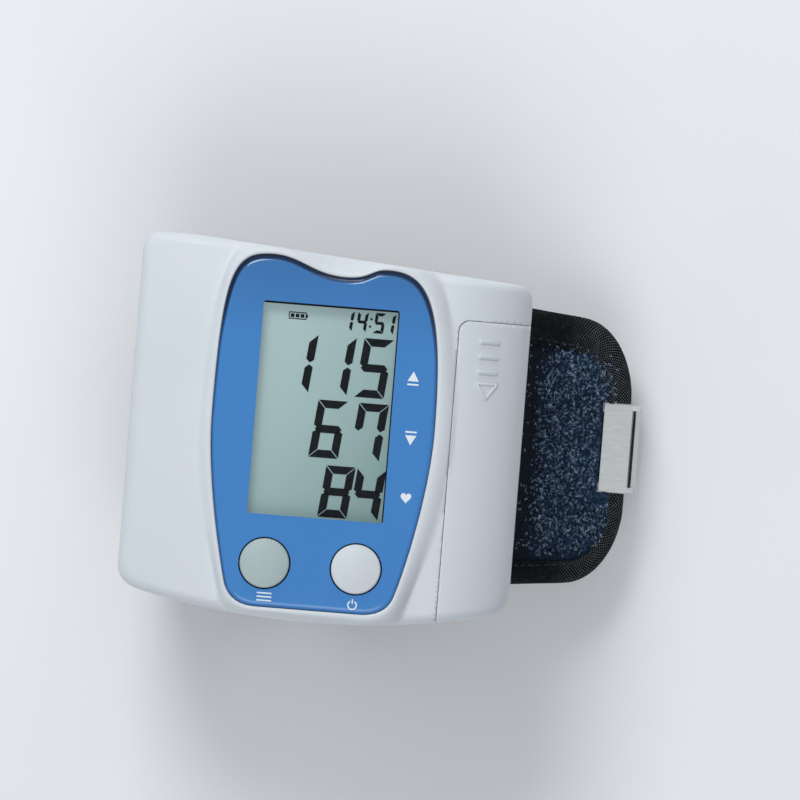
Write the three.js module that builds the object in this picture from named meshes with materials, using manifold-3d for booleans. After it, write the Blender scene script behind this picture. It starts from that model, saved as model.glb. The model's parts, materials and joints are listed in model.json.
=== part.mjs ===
// Wrist blood pressure monitor: a moulded housing with its works inside, on a curled wrist cuff.
// Millimetres. +Z is the way the display faces, +Y is the top of the display, +X is its right.
// The origin is the middle of the flat on which the curled cuff rests.
import * as THREE from 'three';
import { mergeVertices } from 'three/addons/utils/BufferGeometryUtils.js';
import Module from 'manifold-3d';

const wasm = await Module();
wasm.setup();

// Driving dimensions
const housingWidth = 80;
const housingLength = 75.6;
const housingHeight = 18.9; // from the wrist hollow to the top of the cover, on the middle line
const cuffWidth = 56.4;
const cuffThickness = 5;
const underRadius = 42; // middle line of the cuff under the housing
const sideRadius = 25; // middle line of the cuff at the side of the wrist
const saddleAngle = 35; // degrees of cuff each side of the middle that follow the housing
const coverWall = 1.7;
const fitGap = 0.3; // between pieces that touch
const seatDepth = 0.8; // flat cut where the cuff rests
const overrun = 1; // how far a cut runs past its piece
const weld = 0.0001;
const turn = Math.PI * 2;

const object = new THREE.Group();

function add(name, body, colour, roughness, metalness) {
  const mesh = new THREE.Mesh(
    body.isBufferGeometry ? body : geometryOf(body),
    new THREE.MeshStandardMaterial({ color: colour, roughness, metalness }),
  );
  mesh.name = name;
  object.add(mesh);
}

// Solids: a closed geometry becomes one that can be cut and joined, and comes back as a geometry
function solid(geometry) {
  const bare = new THREE.BufferGeometry();
  bare.setAttribute('position', (geometry.index ? geometry.toNonIndexed() : geometry).attributes.position);
  const merged = mergeVertices(bare, weld);
  return new wasm.Manifold(new wasm.Mesh({
    numProp: 3,
    vertProperties: merged.attributes.position.array,
    triVerts: Uint32Array.from(merged.index.array),
  }));
}

function geometryOf(body) {
  const mesh = body.getMesh();
  const geometry = new THREE.BufferGeometry();
  geometry.setAttribute('position', new THREE.BufferAttribute(mesh.vertProperties, mesh.numProp));
  geometry.setIndex(new THREE.BufferAttribute(mesh.triVerts, 1));
  geometry.computeVertexNormals();
  return geometry;
}

function extrude(shape, depth, curveSegments) {
  return new THREE.ExtrudeGeometry(shape, { depth, bevelEnabled: false, curveSegments });
}

const roundSteps = 6; // steps in a quarter round of an extruded corner
function plateZ(shape, low, high) {
  return solid(extrude(shape, high - low, roundSteps).translate(0, 0, low));
}

// A profile drawn as (x, z) and extruded along Y
function plateY(shape, low, high) {
  return solid(extrude(shape, high - low, roundSteps).rotateX(turn / 4).translate(0, high, 0));
}

function box(lowX, highX, lowY, highY, lowZ, highZ) {
  const geometry = new THREE.BoxGeometry(highX - lowX, highY - lowY, highZ - lowZ);
  return solid(geometry.translate((lowX + highX) / 2, (lowY + highY) / 2, (lowZ + highZ) / 2));
}

const roundSides = 20;
function rodZ(x, y, low, high, radius, sides = roundSides) {
  const geometry = new THREE.CylinderGeometry(radius, radius, high - low, sides);
  return solid(geometry.rotateX(turn / 4).translate(x, y, (low + high) / 2));
}

function rodY(x, z, low, high, radius, sides = roundSides) {
  const geometry = new THREE.CylinderGeometry(radius, radius, high - low, sides);
  return solid(geometry.translate(x, (low + high) / 2, z));
}

function roundedBox(centreX, centreY, width, height, radius) {
  const shape = new THREE.Shape();
  const right = centreX + width / 2;
  const left = centreX - width / 2;
  const top = centreY + height / 2;
  const bottom = centreY - height / 2;
  shape.absarc(right - radius, top - radius, radius, 0, turn / 4);
  shape.absarc(left + radius, top - radius, radius, turn / 4, turn / 2);
  shape.absarc(left + radius, bottom + radius, radius, turn / 2, turn * 3 / 4);
  shape.absarc(right - radius, bottom + radius, radius, turn * 3 / 4, turn);
  return shape;
}

// Rings of equal count, joined one to the next and closed at both ends by a fan to their middle
function loft(rings) {
  const count = rings[0].length;
  const points = rings.flat();
  const faces = [];
  for (let ring = 0; ring + 1 < rings.length; ring += 1) {
    for (let i = 0; i < count; i += 1) {
      const next = (i + 1) % count;
      const a = ring * count + i;
      const b = ring * count + next;
      faces.push([a, b, b + count], [a, b + count, a + count]);
    }
  }
  for (const [ring, flip] of [[rings[0], true], [rings[rings.length - 1], false]]) {
    const middle = new THREE.Vector3();
    ring.forEach((point) => middle.addScaledVector(point, 1 / count));
    const centre = points.push(middle) - 1;
    const first = flip ? 0 : (rings.length - 1) * count;
    for (let i = 0; i < count; i += 1) {
      const a = first + i;
      const b = first + ((i + 1) % count);
      faces.push(flip ? [b, a, centre] : [a, b, centre]);
    }
  }
  let volume = 0;
  faces.forEach(([a, b, c]) => {
    volume += points[a].dot(new THREE.Vector3().crossVectors(points[b], points[c]));
  });
  const order = volume < 0 ? faces.map(([a, b, c]) => [a, c, b]) : faces;
  const geometry = new THREE.BufferGeometry();
  geometry.setAttribute('position', new THREE.Float32BufferAttribute(
    points.flatMap((p) => [p.x, p.y, p.z]), 3));
  geometry.setIndex(order.flat());
  return solid(geometry);
}

// The cuff's middle line in the XZ plane: arcs that meet without a corner, met by way of their length
const radians = (degrees) => degrees * turn / 360;
const cuffHalf = cuffThickness / 2;
const strapBottomRadius = 42;
const loopDrop = (underRadius + strapBottomRadius) * (1 - Math.cos(radians(saddleAngle)))
  + 2 * sideRadius * Math.cos(radians(saddleAngle));
const cuffBottom = cuffHalf - seatDepth; // middle line at the rest flat
const cuffTop = cuffBottom + loopDrop;
const saddleZ = cuffTop - underRadius; // axis of the wrist hollow
const hollowRadius = underRadius + cuffHalf + fitGap;
const hollowZ = saddleZ + hollowRadius; // highest line of the hollow

// Levels of the housing, from the hollow up
const topZ = hollowZ + housingHeight; // cover's skin on the middle line
const splitRise = 3; // from the wrist hollow to where the two covers meet
const splitZ = hollowZ + splitRise;
const podRise = 1.5;
const podZ = topZ + podRise;
const wingDepth = 20; // how far the wings reach down beside the wrist hollow
const lowestZ = hollowZ - wingDepth;

// Plan of the housing, as the display is seen. Its top edge falls to the right and its bottom edge is bowed
const leftX = -housingWidth * 0.491;
const rightX = leftX + housingWidth;
const topLeftY = housingLength / 2;
const topDrop = 5; // how much lower the top edge ends at the right
const topRightY = topLeftY - topDrop;
const bottomLeftY = -housingLength * 0.453;
const bottomRightY = -housingLength * 0.447;
const bottomBow = 5.6;
const cornerRadius = 4;
const outlinePitch = 8; // longest step along an outline
const curveSteps = 6; // least steps in one curve of an outline
const outlineOf = (shape, pitch) => shape.curves.flatMap((curve) => {
  const least = curve.isLineCurve ? 1 : curveSteps;
  return curve.getPoints(Math.max(least, Math.ceil(curve.getLength() / pitch))).slice(1);
});
const housingShape = new THREE.Shape();
housingShape.moveTo(leftX, 0);
housingShape.lineTo(leftX, topLeftY - cornerRadius);
housingShape.quadraticCurveTo(leftX, topLeftY, leftX + cornerRadius, topLeftY);
housingShape.lineTo(leftX + housingWidth * 0.13, topLeftY);
housingShape.lineTo(rightX - cornerRadius, topRightY);
housingShape.quadraticCurveTo(rightX, topRightY, rightX, topRightY - cornerRadius);
housingShape.lineTo(rightX, bottomRightY + cornerRadius);
housingShape.quadraticCurveTo(rightX, bottomRightY - bottomBow * 0.2, rightX - cornerRadius * 1.4,
  bottomRightY - bottomBow * 0.3);
housingShape.quadraticCurveTo(0, bottomRightY - bottomBow * 1.6, leftX + cornerRadius * 1.4,
  bottomLeftY - bottomBow * 0.2);
housingShape.quadraticCurveTo(leftX, bottomLeftY, leftX, bottomLeftY + cornerRadius);
housingShape.closePath();
const housingOutline = outlineOf(housingShape, outlinePitch);

// Height of the cover's skin: it falls a little to the left and the ends, and rolls over at the right
const shoulderStartX = housingWidth * 0.29;
const shoulderDrop = 15;
const leftStartX = -housingWidth * 0.29;
const leftDrop = 3.4;
const endDrop = 1.6;
function skinZ(x, y) {
  const over = Math.max(0, (x - shoulderStartX) / (rightX * 1.02 - shoulderStartX));
  const right = shoulderDrop * (1 - Math.sqrt(Math.max(0, 1 - over * over)));
  const away = Math.max(0, (leftStartX - x) / (leftStartX - leftX));
  const end = Math.abs(y) / (housingLength / 2);
  return topZ - right - leftDrop * away * away - endDrop * end * end * end;
}

// A cover's outside as a solid: upright wall, rounded edge and skin, drawn in by inset on every side
const edgeStartShare = 0.93; // where the rounded edge starts, from the middle out
const edgeDrop = 3.2;
const skinShares = [1, 0.995, 0.98, 0.96, 0.93, 0.86, 0.74, 0.55];
function coverBody(inset, low) {
  const share = 1 - inset * 2 / housingWidth;
  const rings = [housingOutline.map((p) => new THREE.Vector3(p.x * share, p.y * share, low))];
  skinShares.forEach((ringShare) => {
    const over = Math.max(0, (ringShare - edgeStartShare) / (1 - edgeStartShare));
    const drop = edgeDrop * (1 - Math.sqrt(1 - over * over));
    rings.push(housingOutline.map((p) => {
      const x = p.x * ringShare;
      const y = p.y * ringShare;
      return new THREE.Vector3(x * share, y * share, skinZ(x, y) - drop - inset);
    }));
  });
  return loft(rings);
}

// Outline of the blue panel: two humps with a dip between them, sides that draw in to the bottom
const panelLeftX = -housingWidth * 0.28;
const panelRightX = housingWidth * 0.28375;
const panelBottomY = -housingLength * 0.4828;
const leftHumpX = -housingWidth * 0.145;
const leftHumpY = housingLength * 0.4616;
const dipX = housingWidth * 0.03;
const dipY = housingLength * 0.414;
const rightHumpX = housingWidth * 0.135;
const rightHumpY = housingLength * 0.4418;
const panelWaistY = housingLength * 0.0265;
const panelShoulderY = housingLength * 0.291;
function panelShape(grow) {
  const shape = new THREE.Shape();
  const left = panelLeftX - grow;
  const right = panelRightX + grow;
  const bottom = panelBottomY - grow;
  const lean = (right - left) / 8; // how far the sides draw in by the bottom corners
  shape.moveTo(left, panelWaistY);
  shape.bezierCurveTo(left, panelShoulderY, left + lean * 0.45, leftHumpY + grow, leftHumpX,
    leftHumpY + grow);
  shape.bezierCurveTo(leftHumpX + lean, leftHumpY + grow, dipX - lean * 1.2, dipY + grow, dipX, dipY + grow);
  shape.bezierCurveTo(dipX + lean * 0.9, dipY + grow, rightHumpX - lean * 0.6, rightHumpY + grow,
    rightHumpX, rightHumpY + grow);
  shape.bezierCurveTo(right - lean * 0.55, rightHumpY + grow, right, panelShoulderY, right, panelWaistY);
  shape.bezierCurveTo(right, panelWaistY - lean * 2.4, right - lean * 0.75, bottom + lean * 1.4,
    right - lean, bottom + lean * 0.7);
  shape.quadraticCurveTo(right - lean * 1.25, bottom, right - lean * 2.2, bottom);
  shape.lineTo(left + lean * 2.1, bottom);
  shape.quadraticCurveTo(left + lean * 1.15, bottom, left + lean * 0.9, bottom + lean * 0.8);
  shape.bezierCurveTo(left + lean * 0.7, bottom + lean * 1.6, left, panelWaistY - lean * 2.4, left,
    panelWaistY);
  return shape;
}

// The raised surround of the panel: its wall runs out into the cover's skin
const podSteps = 8; // in each curve of the panel's outline
const podFoot = 3; // how far outside the panel it meets the skin
const podLip = 0.9; // how far outside the panel it is level
const podFade = 0.8; // how much lower its foot ends than the skin on the middle line
function podBody() {
  const ring = (grow, z) => panelShape(grow).curves
    .flatMap((curve) => curve.getPoints(podSteps).slice(1))
    .map((p) => new THREE.Vector3(p.x, p.y, z));
  return loft([
    ring(podFoot, topZ - coverWall),
    ring(podFoot, topZ - podFade),
    ring((podFoot + podLip) / 2, topZ + podRise * 0.5),
    ring(podLip, podZ),
  ]).intersect(coverBody(-podRise * 0.9, lowestZ)).intersect(prism(1 - edgeStartShare * 0.004, lowestZ,
    podZ + overrun));
}
const prism = (share, low, high) => loft([low, high]
  .map((z) => housingOutline.map((p) => new THREE.Vector3(p.x * share, p.y * share, z))));

// Window and buttons in the panel
const windowWidth = housingWidth * 0.345;
const windowHeight = housingLength * 0.5714;
const windowY = housingLength * 0.0516;
const windowCorner = 0.6;
const buttonRadius = housingWidth * 0.0631;
const buttonPlaces = {
  memory: [-housingWidth * 0.11875, -housingLength * 0.3664],
  power: [housingWidth * 0.11375, -housingLength * 0.3638],
};
const panelDepth = 0.4; // panel's face below the surround
const panelThickness = 1.5;
const panelTop = podZ - panelDepth;
const panelFloor = panelTop - panelThickness - fitGap; // floor of the panel's recess
const panelFit = fitGap;

// The clear window plate lies in the cover's own opening, under the panel's edge
const plateEdge = 1.2;
const plateThickness = 0.9;

// Battery cover: left seam, top seam and rounded corner, as seen from above
const seamX = housingWidth * 0.3275;
const seamY = housingLength * 0.3254;
const seamCorner = 2;
const seamWidth = fitGap;
function batteryCutShape(grow) {
  const shape = new THREE.Shape();
  shape.moveTo(seamX - grow, -housingLength);
  shape.lineTo(seamX - grow, seamY + grow - seamCorner);
  shape.quadraticCurveTo(seamX - grow, seamY + grow, seamX - grow + seamCorner, seamY + grow);
  shape.lineTo(housingWidth, seamY + grow);
  shape.lineTo(housingWidth, -housingLength);
  shape.closePath();
  return shape;
}

// Case screws stand in bosses of the two covers, heads in pockets of the underside
const screwFromSide = 6.28; // of the housing, at the left
const screwFromSeam = 4.9; // of the battery cover
const screwPlaces = [
  [leftX + screwFromSide, housingLength * 0.41],
  [leftX + screwFromSide, -housingLength * 0.39],
  [seamX - screwFromSeam, housingLength * 0.41],
  [seamX - screwFromSeam, -housingLength * 0.4167],
];
const screwShank = 1.1;
const screwHead = 2.3;
const screwHeadHeight = 1.6;
const screwReach = 9; // into the upper boss
const screwPocket = 3.2; // seat of the head above the underside
const bossRadius = 3.3;
const upperBossRadius = 2.7;
const underZ = (x) => saddleZ + Math.sqrt(hollowRadius * hollowRadius - x * x);
const seatZ = (x) => Math.max(underZ(x), lowestZ) + screwPocket;
const hollowSides = 72;
const hollowCut = (grow) => rodY(0, saddleZ, -housingLength, housingLength, hollowRadius + grow,
  hollowSides);

// Thumb scoop in the surround, over the panel's dip
const scoopWidth = 11;
const scoopDepth = 2.6;
const scoopLength = 7.5;
const scoop = solid(new THREE.SphereGeometry(1, roundSides, roundSides / 2)
  .scale(scoopWidth, scoopLength, scoopDepth)
  .translate(dipX, dipY + scoopLength * 0.75, podZ));

const underSkin = coverBody(coverWall, lowestZ);
let cover = coverBody(0, splitZ + fitGap / 2).add(podBody()).subtract(scoop).subtract(underSkin);
screwPlaces.forEach(([x, y]) => {
  cover = cover.add(rodZ(x, y, splitZ + fitGap / 2, topZ - coverWall, upperBossRadius)
    .intersect(coverBody(coverWall / 2, lowestZ)));
  cover = cover.subtract(rodZ(x, y, lowestZ, splitZ + screwReach + fitGap, screwShank + fitGap));
});
const batteryCut = plateZ(batteryCutShape(0), lowestZ, podZ + overrun);
const wholeCover = cover;
cover = cover
  .subtract(plateZ(panelShape(panelFit), panelFloor, podZ + overrun))
  .subtract(plateZ(batteryCutShape(seamWidth), lowestZ, podZ + overrun))
  .subtract(plateZ(roundedBox(0, windowY, windowWidth + 2 * (plateEdge + fitGap),
    windowHeight + 2 * (plateEdge + fitGap), windowCorner + plateEdge), panelFloor - coverWall * 2, podZ));
Object.values(buttonPlaces).forEach(([x, y]) => {
  cover = cover.subtract(rodZ(x, y, splitZ, podZ, buttonRadius + fitGap));
});
add('front_cover', cover, 0xcdd3d9, 0.45, 0);

// Battery cover: cut from the same skin, with grip bars and an arrow that show which way it slides
const gripDown = 3.9; // of the first bar, from the top seam
const gripX = seamX + (rightX - seamX) * 0.44;
const gripY = seamY - gripDown;
const gripPitch = 3.1;
const gripWidth = 4;
const gripHeight = 1;
const gripRise = 0.4;
const arrowHeight = 3;
const grips = [0, 1, 2].map((i) => plateZ(
  roundedBox(gripX, gripY - i * gripPitch, gripWidth, gripHeight, gripHeight * 0.4),
  topZ - shoulderDrop,
  podZ,
));
const arrowShape = new THREE.Shape();
const arrowTop = gripY - 3 * gripPitch + arrowHeight / 4;
arrowShape.moveTo(gripX - gripWidth / 2, arrowTop);
arrowShape.lineTo(gripX, arrowTop - arrowHeight);
arrowShape.lineTo(gripX + gripWidth / 2, arrowTop);
const raised = [...grips, plateZ(arrowShape, topZ - shoulderDrop, podZ)]
  .map((mark) => mark.intersect(coverBody(-gripRise, splitZ)).subtract(underSkin));
const batteryCover = raised.reduce((body, mark) => body.add(mark), wholeCover.intersect(batteryCut));
add('battery_cover', batteryCover, 0xc9cfd6, 0.45, 0);

// Back cover: wings and wrist hollow, a lip inside the upper cover, screw bosses and the battery bay
const cellRadius = 5.2;
const cellLength = 43.3;
const nubRadius = 1.9;
const nubLength = 1;
const cellMiddleY = -housingLength * 0.0595;
const cellRoom = 0.42; // beside the lower cell, to the battery cover
const lowerCellX = rightX - coverWall - cellRadius - cellRoom;
const lowerCellZ = saddleZ + Math.sqrt((hollowRadius + coverWall + cellRadius + fitGap) ** 2
  - lowerCellX ** 2);
const cellStagger = 1.3; // the upper cell lies this far to the left
const upperCellX = lowerCellX - cellStagger;
const upperCellZ = lowerCellZ + 2 * cellRadius + fitGap;
const springRoom = 4.6;
const plateRoom = 1; // a contact plate and its gaps
const bayLowY = cellMiddleY - cellLength / 2 - nubLength - plateRoom;
const bayHighY = cellMiddleY + cellLength / 2 + springRoom;
const bayWall = 1.2;
const bayLeft = lowerCellX - 2 * cellRadius + 2 * fitGap + bayWall;
const lipHeight = 1.4;
const lipThickness = 1.1;
const insideShare = (depth) => 1 - depth * 2 / housingWidth;
const backRings = [[0.965, 0], [0.988, wingDepth * 0.04], [1, wingDepth * 0.14]]
  .map(([share, up]) => housingOutline.map((p) => new THREE.Vector3(p.x * share, p.y * share,
    lowestZ + up)));
backRings.push(housingOutline.map((p) => new THREE.Vector3(p.x, p.y, splitZ - fitGap / 2)));
const cavity = prism(insideShare(coverWall), lowestZ + coverWall, podZ).subtract(hollowCut(coverWall));
const lip = prism(insideShare(coverWall + fitGap), splitZ - lipHeight, splitZ + lipHeight)
  .subtract(prism(insideShare(coverWall + fitGap + lipThickness), splitZ - lipHeight * 2,
    splitZ + lipHeight * 2));
const lipRoot = prism(insideShare(coverWall / 2), splitZ - lipHeight * 2, splitZ - fitGap)
  .subtract(prism(insideShare(coverWall + fitGap + lipThickness), splitZ - lipHeight * 3, splitZ));
let back = loft(backRings).subtract(cavity).add(lipRoot).add(lip).subtract(hollowCut(0));
screwPlaces.forEach(([x, y]) => {
  const boss = rodZ(x, y, lowestZ, splitZ - fitGap / 2, bossRadius).subtract(hollowCut(0));
  back = back.add(boss.intersect(prism(insideShare(coverWall / 2), lowestZ, splitZ)));
  back = back.subtract(rodZ(x, y, splitZ - fitGap / 2, splitZ + lipHeight + overrun,
    upperBossRadius + fitGap));
  back = back.subtract(rodZ(x, y, lowestZ - overrun, splitZ + overrun, screwShank + fitGap));
  back = back.subtract(rodZ(x, y, lowestZ - overrun, seatZ(x), screwHead + fitGap));
});
const bayTopZ = upperCellZ;
const bayHeightRoom = prism(insideShare(coverWall + 3 * fitGap), lowestZ, bayTopZ)
  .subtract(hollowCut(coverWall / 2));
[
  box(bayLeft - bayWall, bayLeft, bayLowY - bayWall, bayHighY + bayWall, lowestZ, bayTopZ),
  box(bayLeft - bayWall, housingWidth, bayLowY - bayWall, bayLowY, lowestZ, bayTopZ),
  box(bayLeft - bayWall, housingWidth, bayHighY, bayHighY + bayWall, lowestZ, bayTopZ),
].forEach((wall) => {
  back = back.add(wall.intersect(bayHeightRoom));
});

// Hole for the air nipple, on the middle line of the hollow
const nippleRadius = 2;
const nippleX = -housingWidth * 0.15;
const nippleY = housingLength * 0.08;
back = back.subtract(rodZ(nippleX, nippleY, lowestZ, splitZ, nippleRadius + fitGap));
add('back_cover', back, 0xc8ced4, 0.5, 0);

screwPlaces.forEach(([x, y], index) => {
  const seat = seatZ(x) - fitGap;
  const screw = rodZ(x, y, seat - screwHeadHeight, seat, screwHead)
    .add(rodZ(x, y, seat - screwHeadHeight / 2, splitZ + screwReach, screwShank, roundSides / 2));
  add(`case_screw_${index + 1}`, screw, 0xa8abae, 0.35, 0.9);
});

// Blue panel in its recess, clear plate in the cover's opening below it
const windowHole = (grow) => roundedBox(0, windowY, windowWidth + 2 * grow, windowHeight + 2 * grow,
  windowCorner + grow);
let panel = plateZ(panelShape(0), panelTop - panelThickness, panelTop)
  .subtract(plateZ(windowHole(0), panelFloor, podZ));
Object.values(buttonPlaces).forEach(([x, y]) => {
  panel = panel.subtract(rodZ(x, y, panelFloor, podZ, buttonRadius + fitGap));
});
add('display_bezel', panel, 0x4281bf, 0.25, 0);
const plateBottom = panelFloor - plateThickness;
add('display_window', plateZ(windowHole(plateEdge), plateBottom, panelFloor), 0xdfe8e6, 0.1, 0);

// Liquid crystal glass in a moulded frame that stands on the circuit board
const glassEdge = 1.6; // glass outside the window
const glassThickness = 2.4;
const frameWall = 1.4;
const frameEndY = windowY + windowHeight / 2 + glassEdge + fitGap + frameWall;
const glassTop = Math.min(plateBottom, skinZ(0, frameEndY) - coverWall) - fitGap;
const glassBottom = glassTop - glassThickness;
const frameLedge = 1;
add('lcd_panel', plateZ(windowHole(glassEdge), glassBottom, glassTop), 0x9cb6b0, 0.3, 0);

// Buttons: domed caps with a flange under the cover, each over the plunger of its switch
const buttonTravel = 0.9;
const buttonRise = 0.7; // cap above the surround
const buttonDome = 0.5;
const flangeWidth = 0.9;
const flangeThickness = 0.9;
const switchWidth = 6;
const switchHeight = 3.4;
const plungerRadius = 1.4;
const switchBore = 2.2; // depth
const buttonInner = Math.min(...Object.values(buttonPlaces)
  .map(([x, y]) => skinZ(x, y - buttonRadius - flangeWidth * 2))) - coverWall;
const flangeTop = buttonInner - fitGap;
const flangeBottom = flangeTop - flangeThickness;
const switchTop = flangeBottom - buttonTravel - fitGap;
const boardTop = switchTop - switchHeight - fitGap;
const buttonColours = { memory: 0xa7b7b8, power: 0xcbd2d9 };
Object.entries(buttonPlaces).forEach(([name, [x, y]]) => {
  const capTop = podZ + buttonRise;
  const profile = [
    [0, flangeBottom], [buttonRadius + flangeWidth, flangeBottom], [buttonRadius + flangeWidth, flangeTop],
    [buttonRadius, flangeTop], [buttonRadius, capTop - buttonDome * 1.8],
    [buttonRadius * 0.94, capTop - buttonDome * 1.1], [buttonRadius * 0.8, capTop - buttonDome * 0.6],
    [buttonRadius * 0.45, capTop - buttonDome * 0.15], [0, capTop],
  ].map(([r, z]) => new THREE.Vector2(r, z));
  const cap = solid(new THREE.LatheGeometry(profile, roundSides + 4).rotateX(turn / 4).translate(x, y, 0));
  add(`${name}_button`, cap, buttonColours[name], 0.4, 0);
  const half = switchWidth / 2;
  const body = box(x - half, x + half, y - half, y + half, switchTop - switchHeight, switchTop)
    .subtract(rodZ(x, y, switchTop - switchBore, switchTop + overrun, plungerRadius + fitGap,
      roundSides / 2));
  add(`${name}_switch`, body, 0x2b2c2e, 0.5, 0);
  const low = switchTop - switchBore + buttonTravel + fitGap;
  add(`${name}_plunger`, rodZ(x, y, low, flangeBottom - fitGap, plungerRadius, roundSides / 2),
    0xd8d4cb, 0.5, 0);
});

const frameBody = plateZ(windowHole(glassEdge + fitGap + frameWall), boardTop + fitGap, glassTop - fitGap)
  .subtract(plateZ(windowHole(glassEdge + fitGap), glassBottom - fitGap, podZ))
  .subtract(plateZ(windowHole(glassEdge - frameLedge), splitZ, podZ));
add('lcd_holder', frameBody, 0xe6e6e2, 0.5, 0);
const stripWidth = windowWidth * 0.87;
const stripDepth = 2;
const stripY = windowY - windowHeight / 2 + stripDepth;
add('lcd_connector', box(-stripWidth / 2, stripWidth / 2, stripY - stripDepth / 2, stripY + stripDepth / 2,
  boardTop + fitGap, glassBottom - fitGap), 0x3a3c40, 0.8, 0);

// Circuit board with what is soldered under it
const boardThickness = 1.6;
const boardX = -housingWidth * 0.025;
const boardY = -housingLength * 0.0132;
const boardWidth = housingWidth * 0.475;
const boardLength = housingLength * 0.82;
const boardBottom = boardTop - boardThickness;
add('circuit_board', plateZ(roundedBox(boardX, boardY, boardWidth, boardLength, plateEdge), boardBottom,
  boardTop),
  0x2d6b45, 0.5, 0);
const buzzerRadius = 5.5;
const buzzerHeight = 2.6;
const buzzerX = boardX + boardWidth / 4;
const buzzerY = boardY - boardLength / 3;
add('buzzer', rodZ(buzzerX, buzzerY, boardBottom - fitGap - buzzerHeight, boardBottom - fitGap,
  buzzerRadius),
  0x1d1e20, 0.5, 0);
const sensorWidth = 8;
const sensorHeight = 4;
const sensorX = buzzerX;
const sensorY = boardY + boardLength / 8;
const sensorTop = boardBottom - fitGap;
add('pressure_sensor', box(sensorX - sensorWidth / 2, sensorX + sensorWidth / 2, sensorY - sensorWidth / 2,
  sensorY + sensorWidth / 2, sensorTop - sensorHeight, sensorTop), 0x303236, 0.4, 0);

// Pump in the left wing: motor and diaphragm head on one line, a crank on the shaft between them
const motorRadius = 6.4;
const motorLength = 20;
const motorX = leftX + coverWall + lipThickness + motorRadius + 2 * fitGap;
const motorZ = saddleZ + Math.sqrt((hollowRadius + coverWall + motorRadius + fitGap) ** 2 - motorX * motorX);
const motorY = -10; // its low end
const motorEnd = motorY + motorLength;
const headLength = 11;
const headHalf = motorRadius * 0.98;
const headStart = motorEnd + fitGap;
const shaftRadius = 1;
const shaftSeat = 3;
const crankRadius = 2.8;
const crankOffset = 1;
const crankRoom = 6;
add('pump_motor', rodY(motorX, motorZ, motorY, motorEnd, motorRadius)
  .subtract(rodY(motorX, motorZ, motorEnd - shaftSeat, motorEnd + overrun, shaftRadius + fitGap)),
    0xb9bcc0, 0.3, 0.9);
add('pump_head', box(motorX - headHalf, motorX + headHalf, headStart, headStart + headLength,
  motorZ - headHalf / 2, motorZ + headHalf).subtract(rodY(motorX, motorZ, motorEnd, headStart + crankRoom,
    crankRadius + crankOffset + fitGap)),
0x26282b, 0.5, 0);
add('pump_crank', rodY(motorX, motorZ, motorEnd - shaftSeat + fitGap, headStart + crankRoom - fitGap,
  shaftRadius, 12)
  .add(rodY(motorX, motorZ + crankOffset, headStart + fitGap, headStart + crankRoom - 2 * fitGap,
    crankRadius)),
0xd9d6cf, 0.4, 0);
const valveHalf = 4;
const valveLength = 10;
const valveShift = 1; // to the side of the motor's axis, and up
const valveEnd = motorY - fitGap - 2 * valveShift;
const valveX = motorX + valveShift;
const valveZ = motorZ + valveShift;
add('release_valve', box(valveX - valveHalf, valveX + valveHalf, valveEnd - valveLength, valveEnd,
  valveZ - valveHalf,
  valveZ + valveHalf), 0xc4c0b6, 0.5, 0);

// Air way: nipple through the hollow, manifold over it, hoses to the pump, the valve and the sensor
const manifoldWidth = 10;
const manifoldDepth = 8;
const manifoldTop = boardBottom - fitGap;
const manifoldHeight = 4.4;
const manifoldBottom = manifoldTop - manifoldHeight;
add('air_manifold', box(nippleX - manifoldWidth / 2, nippleX + manifoldWidth / 2,
  nippleY - manifoldDepth / 2,
  nippleY + manifoldDepth / 2, manifoldBottom, manifoldTop), 0xe0e0dc, 0.5, 0);
const hoseRadius = 1.2;
const hoseSides = 4; // in half a round
const hoseSteps = 10;
function hose(name, points) {
  const circle = new THREE.Shape();
  circle.absarc(0, 0, hoseRadius, 0, turn);
  const path = new THREE.CatmullRomCurve3(points.map(([x, y, z]) => new THREE.Vector3(x, y, z)));
  add(name, solid(new THREE.ExtrudeGeometry(circle, {
    steps: hoseSteps, bevelEnabled: false, extrudePath: path, curveSegments: hoseSides,
  })), 0xd9dedd, 0.4, 0);
}
const hoseZ = (manifoldBottom + manifoldTop) / 2;
const hoseLead = 2.4;
const headSide = motorX + headHalf + fitGap;
const manifoldSide = nippleX - manifoldWidth / 2 - fitGap;
const headHoseY = headStart + headLength - hoseLead;
hose('pump_hose', [
  [headSide, headHoseY, motorZ + hoseLead], [headSide + hoseLead, headHoseY, motorZ + hoseLead],
  [manifoldSide - hoseLead, nippleY + hoseRadius, hoseZ], [manifoldSide, nippleY + hoseRadius, hoseZ],
]);
const valveSide = valveX + valveHalf + fitGap;
const valveHoseY = valveEnd - valveLength / 2;
const manifoldFront = nippleY - manifoldDepth / 2 - fitGap;
hose('valve_hose', [
  [valveSide, valveHoseY, valveZ], [valveSide + hoseLead, valveHoseY, valveZ],
  [nippleX, manifoldFront - hoseLead, hoseZ], [nippleX, manifoldFront, hoseZ],
]);
const sensorHoseZ = Math.max(hoseZ, sensorTop - sensorHeight + hoseRadius);
hose('sensor_hose', [
  [nippleX + manifoldWidth / 2 + fitGap, nippleY, hoseZ],
  [nippleX + manifoldWidth / 2 + hoseLead, nippleY, hoseZ],
  [sensorX - sensorWidth / 2 - hoseLead, sensorY, sensorHoseZ],
  [sensorX - sensorWidth / 2 - fitGap, sensorY, sensorHoseZ],
]);

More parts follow.
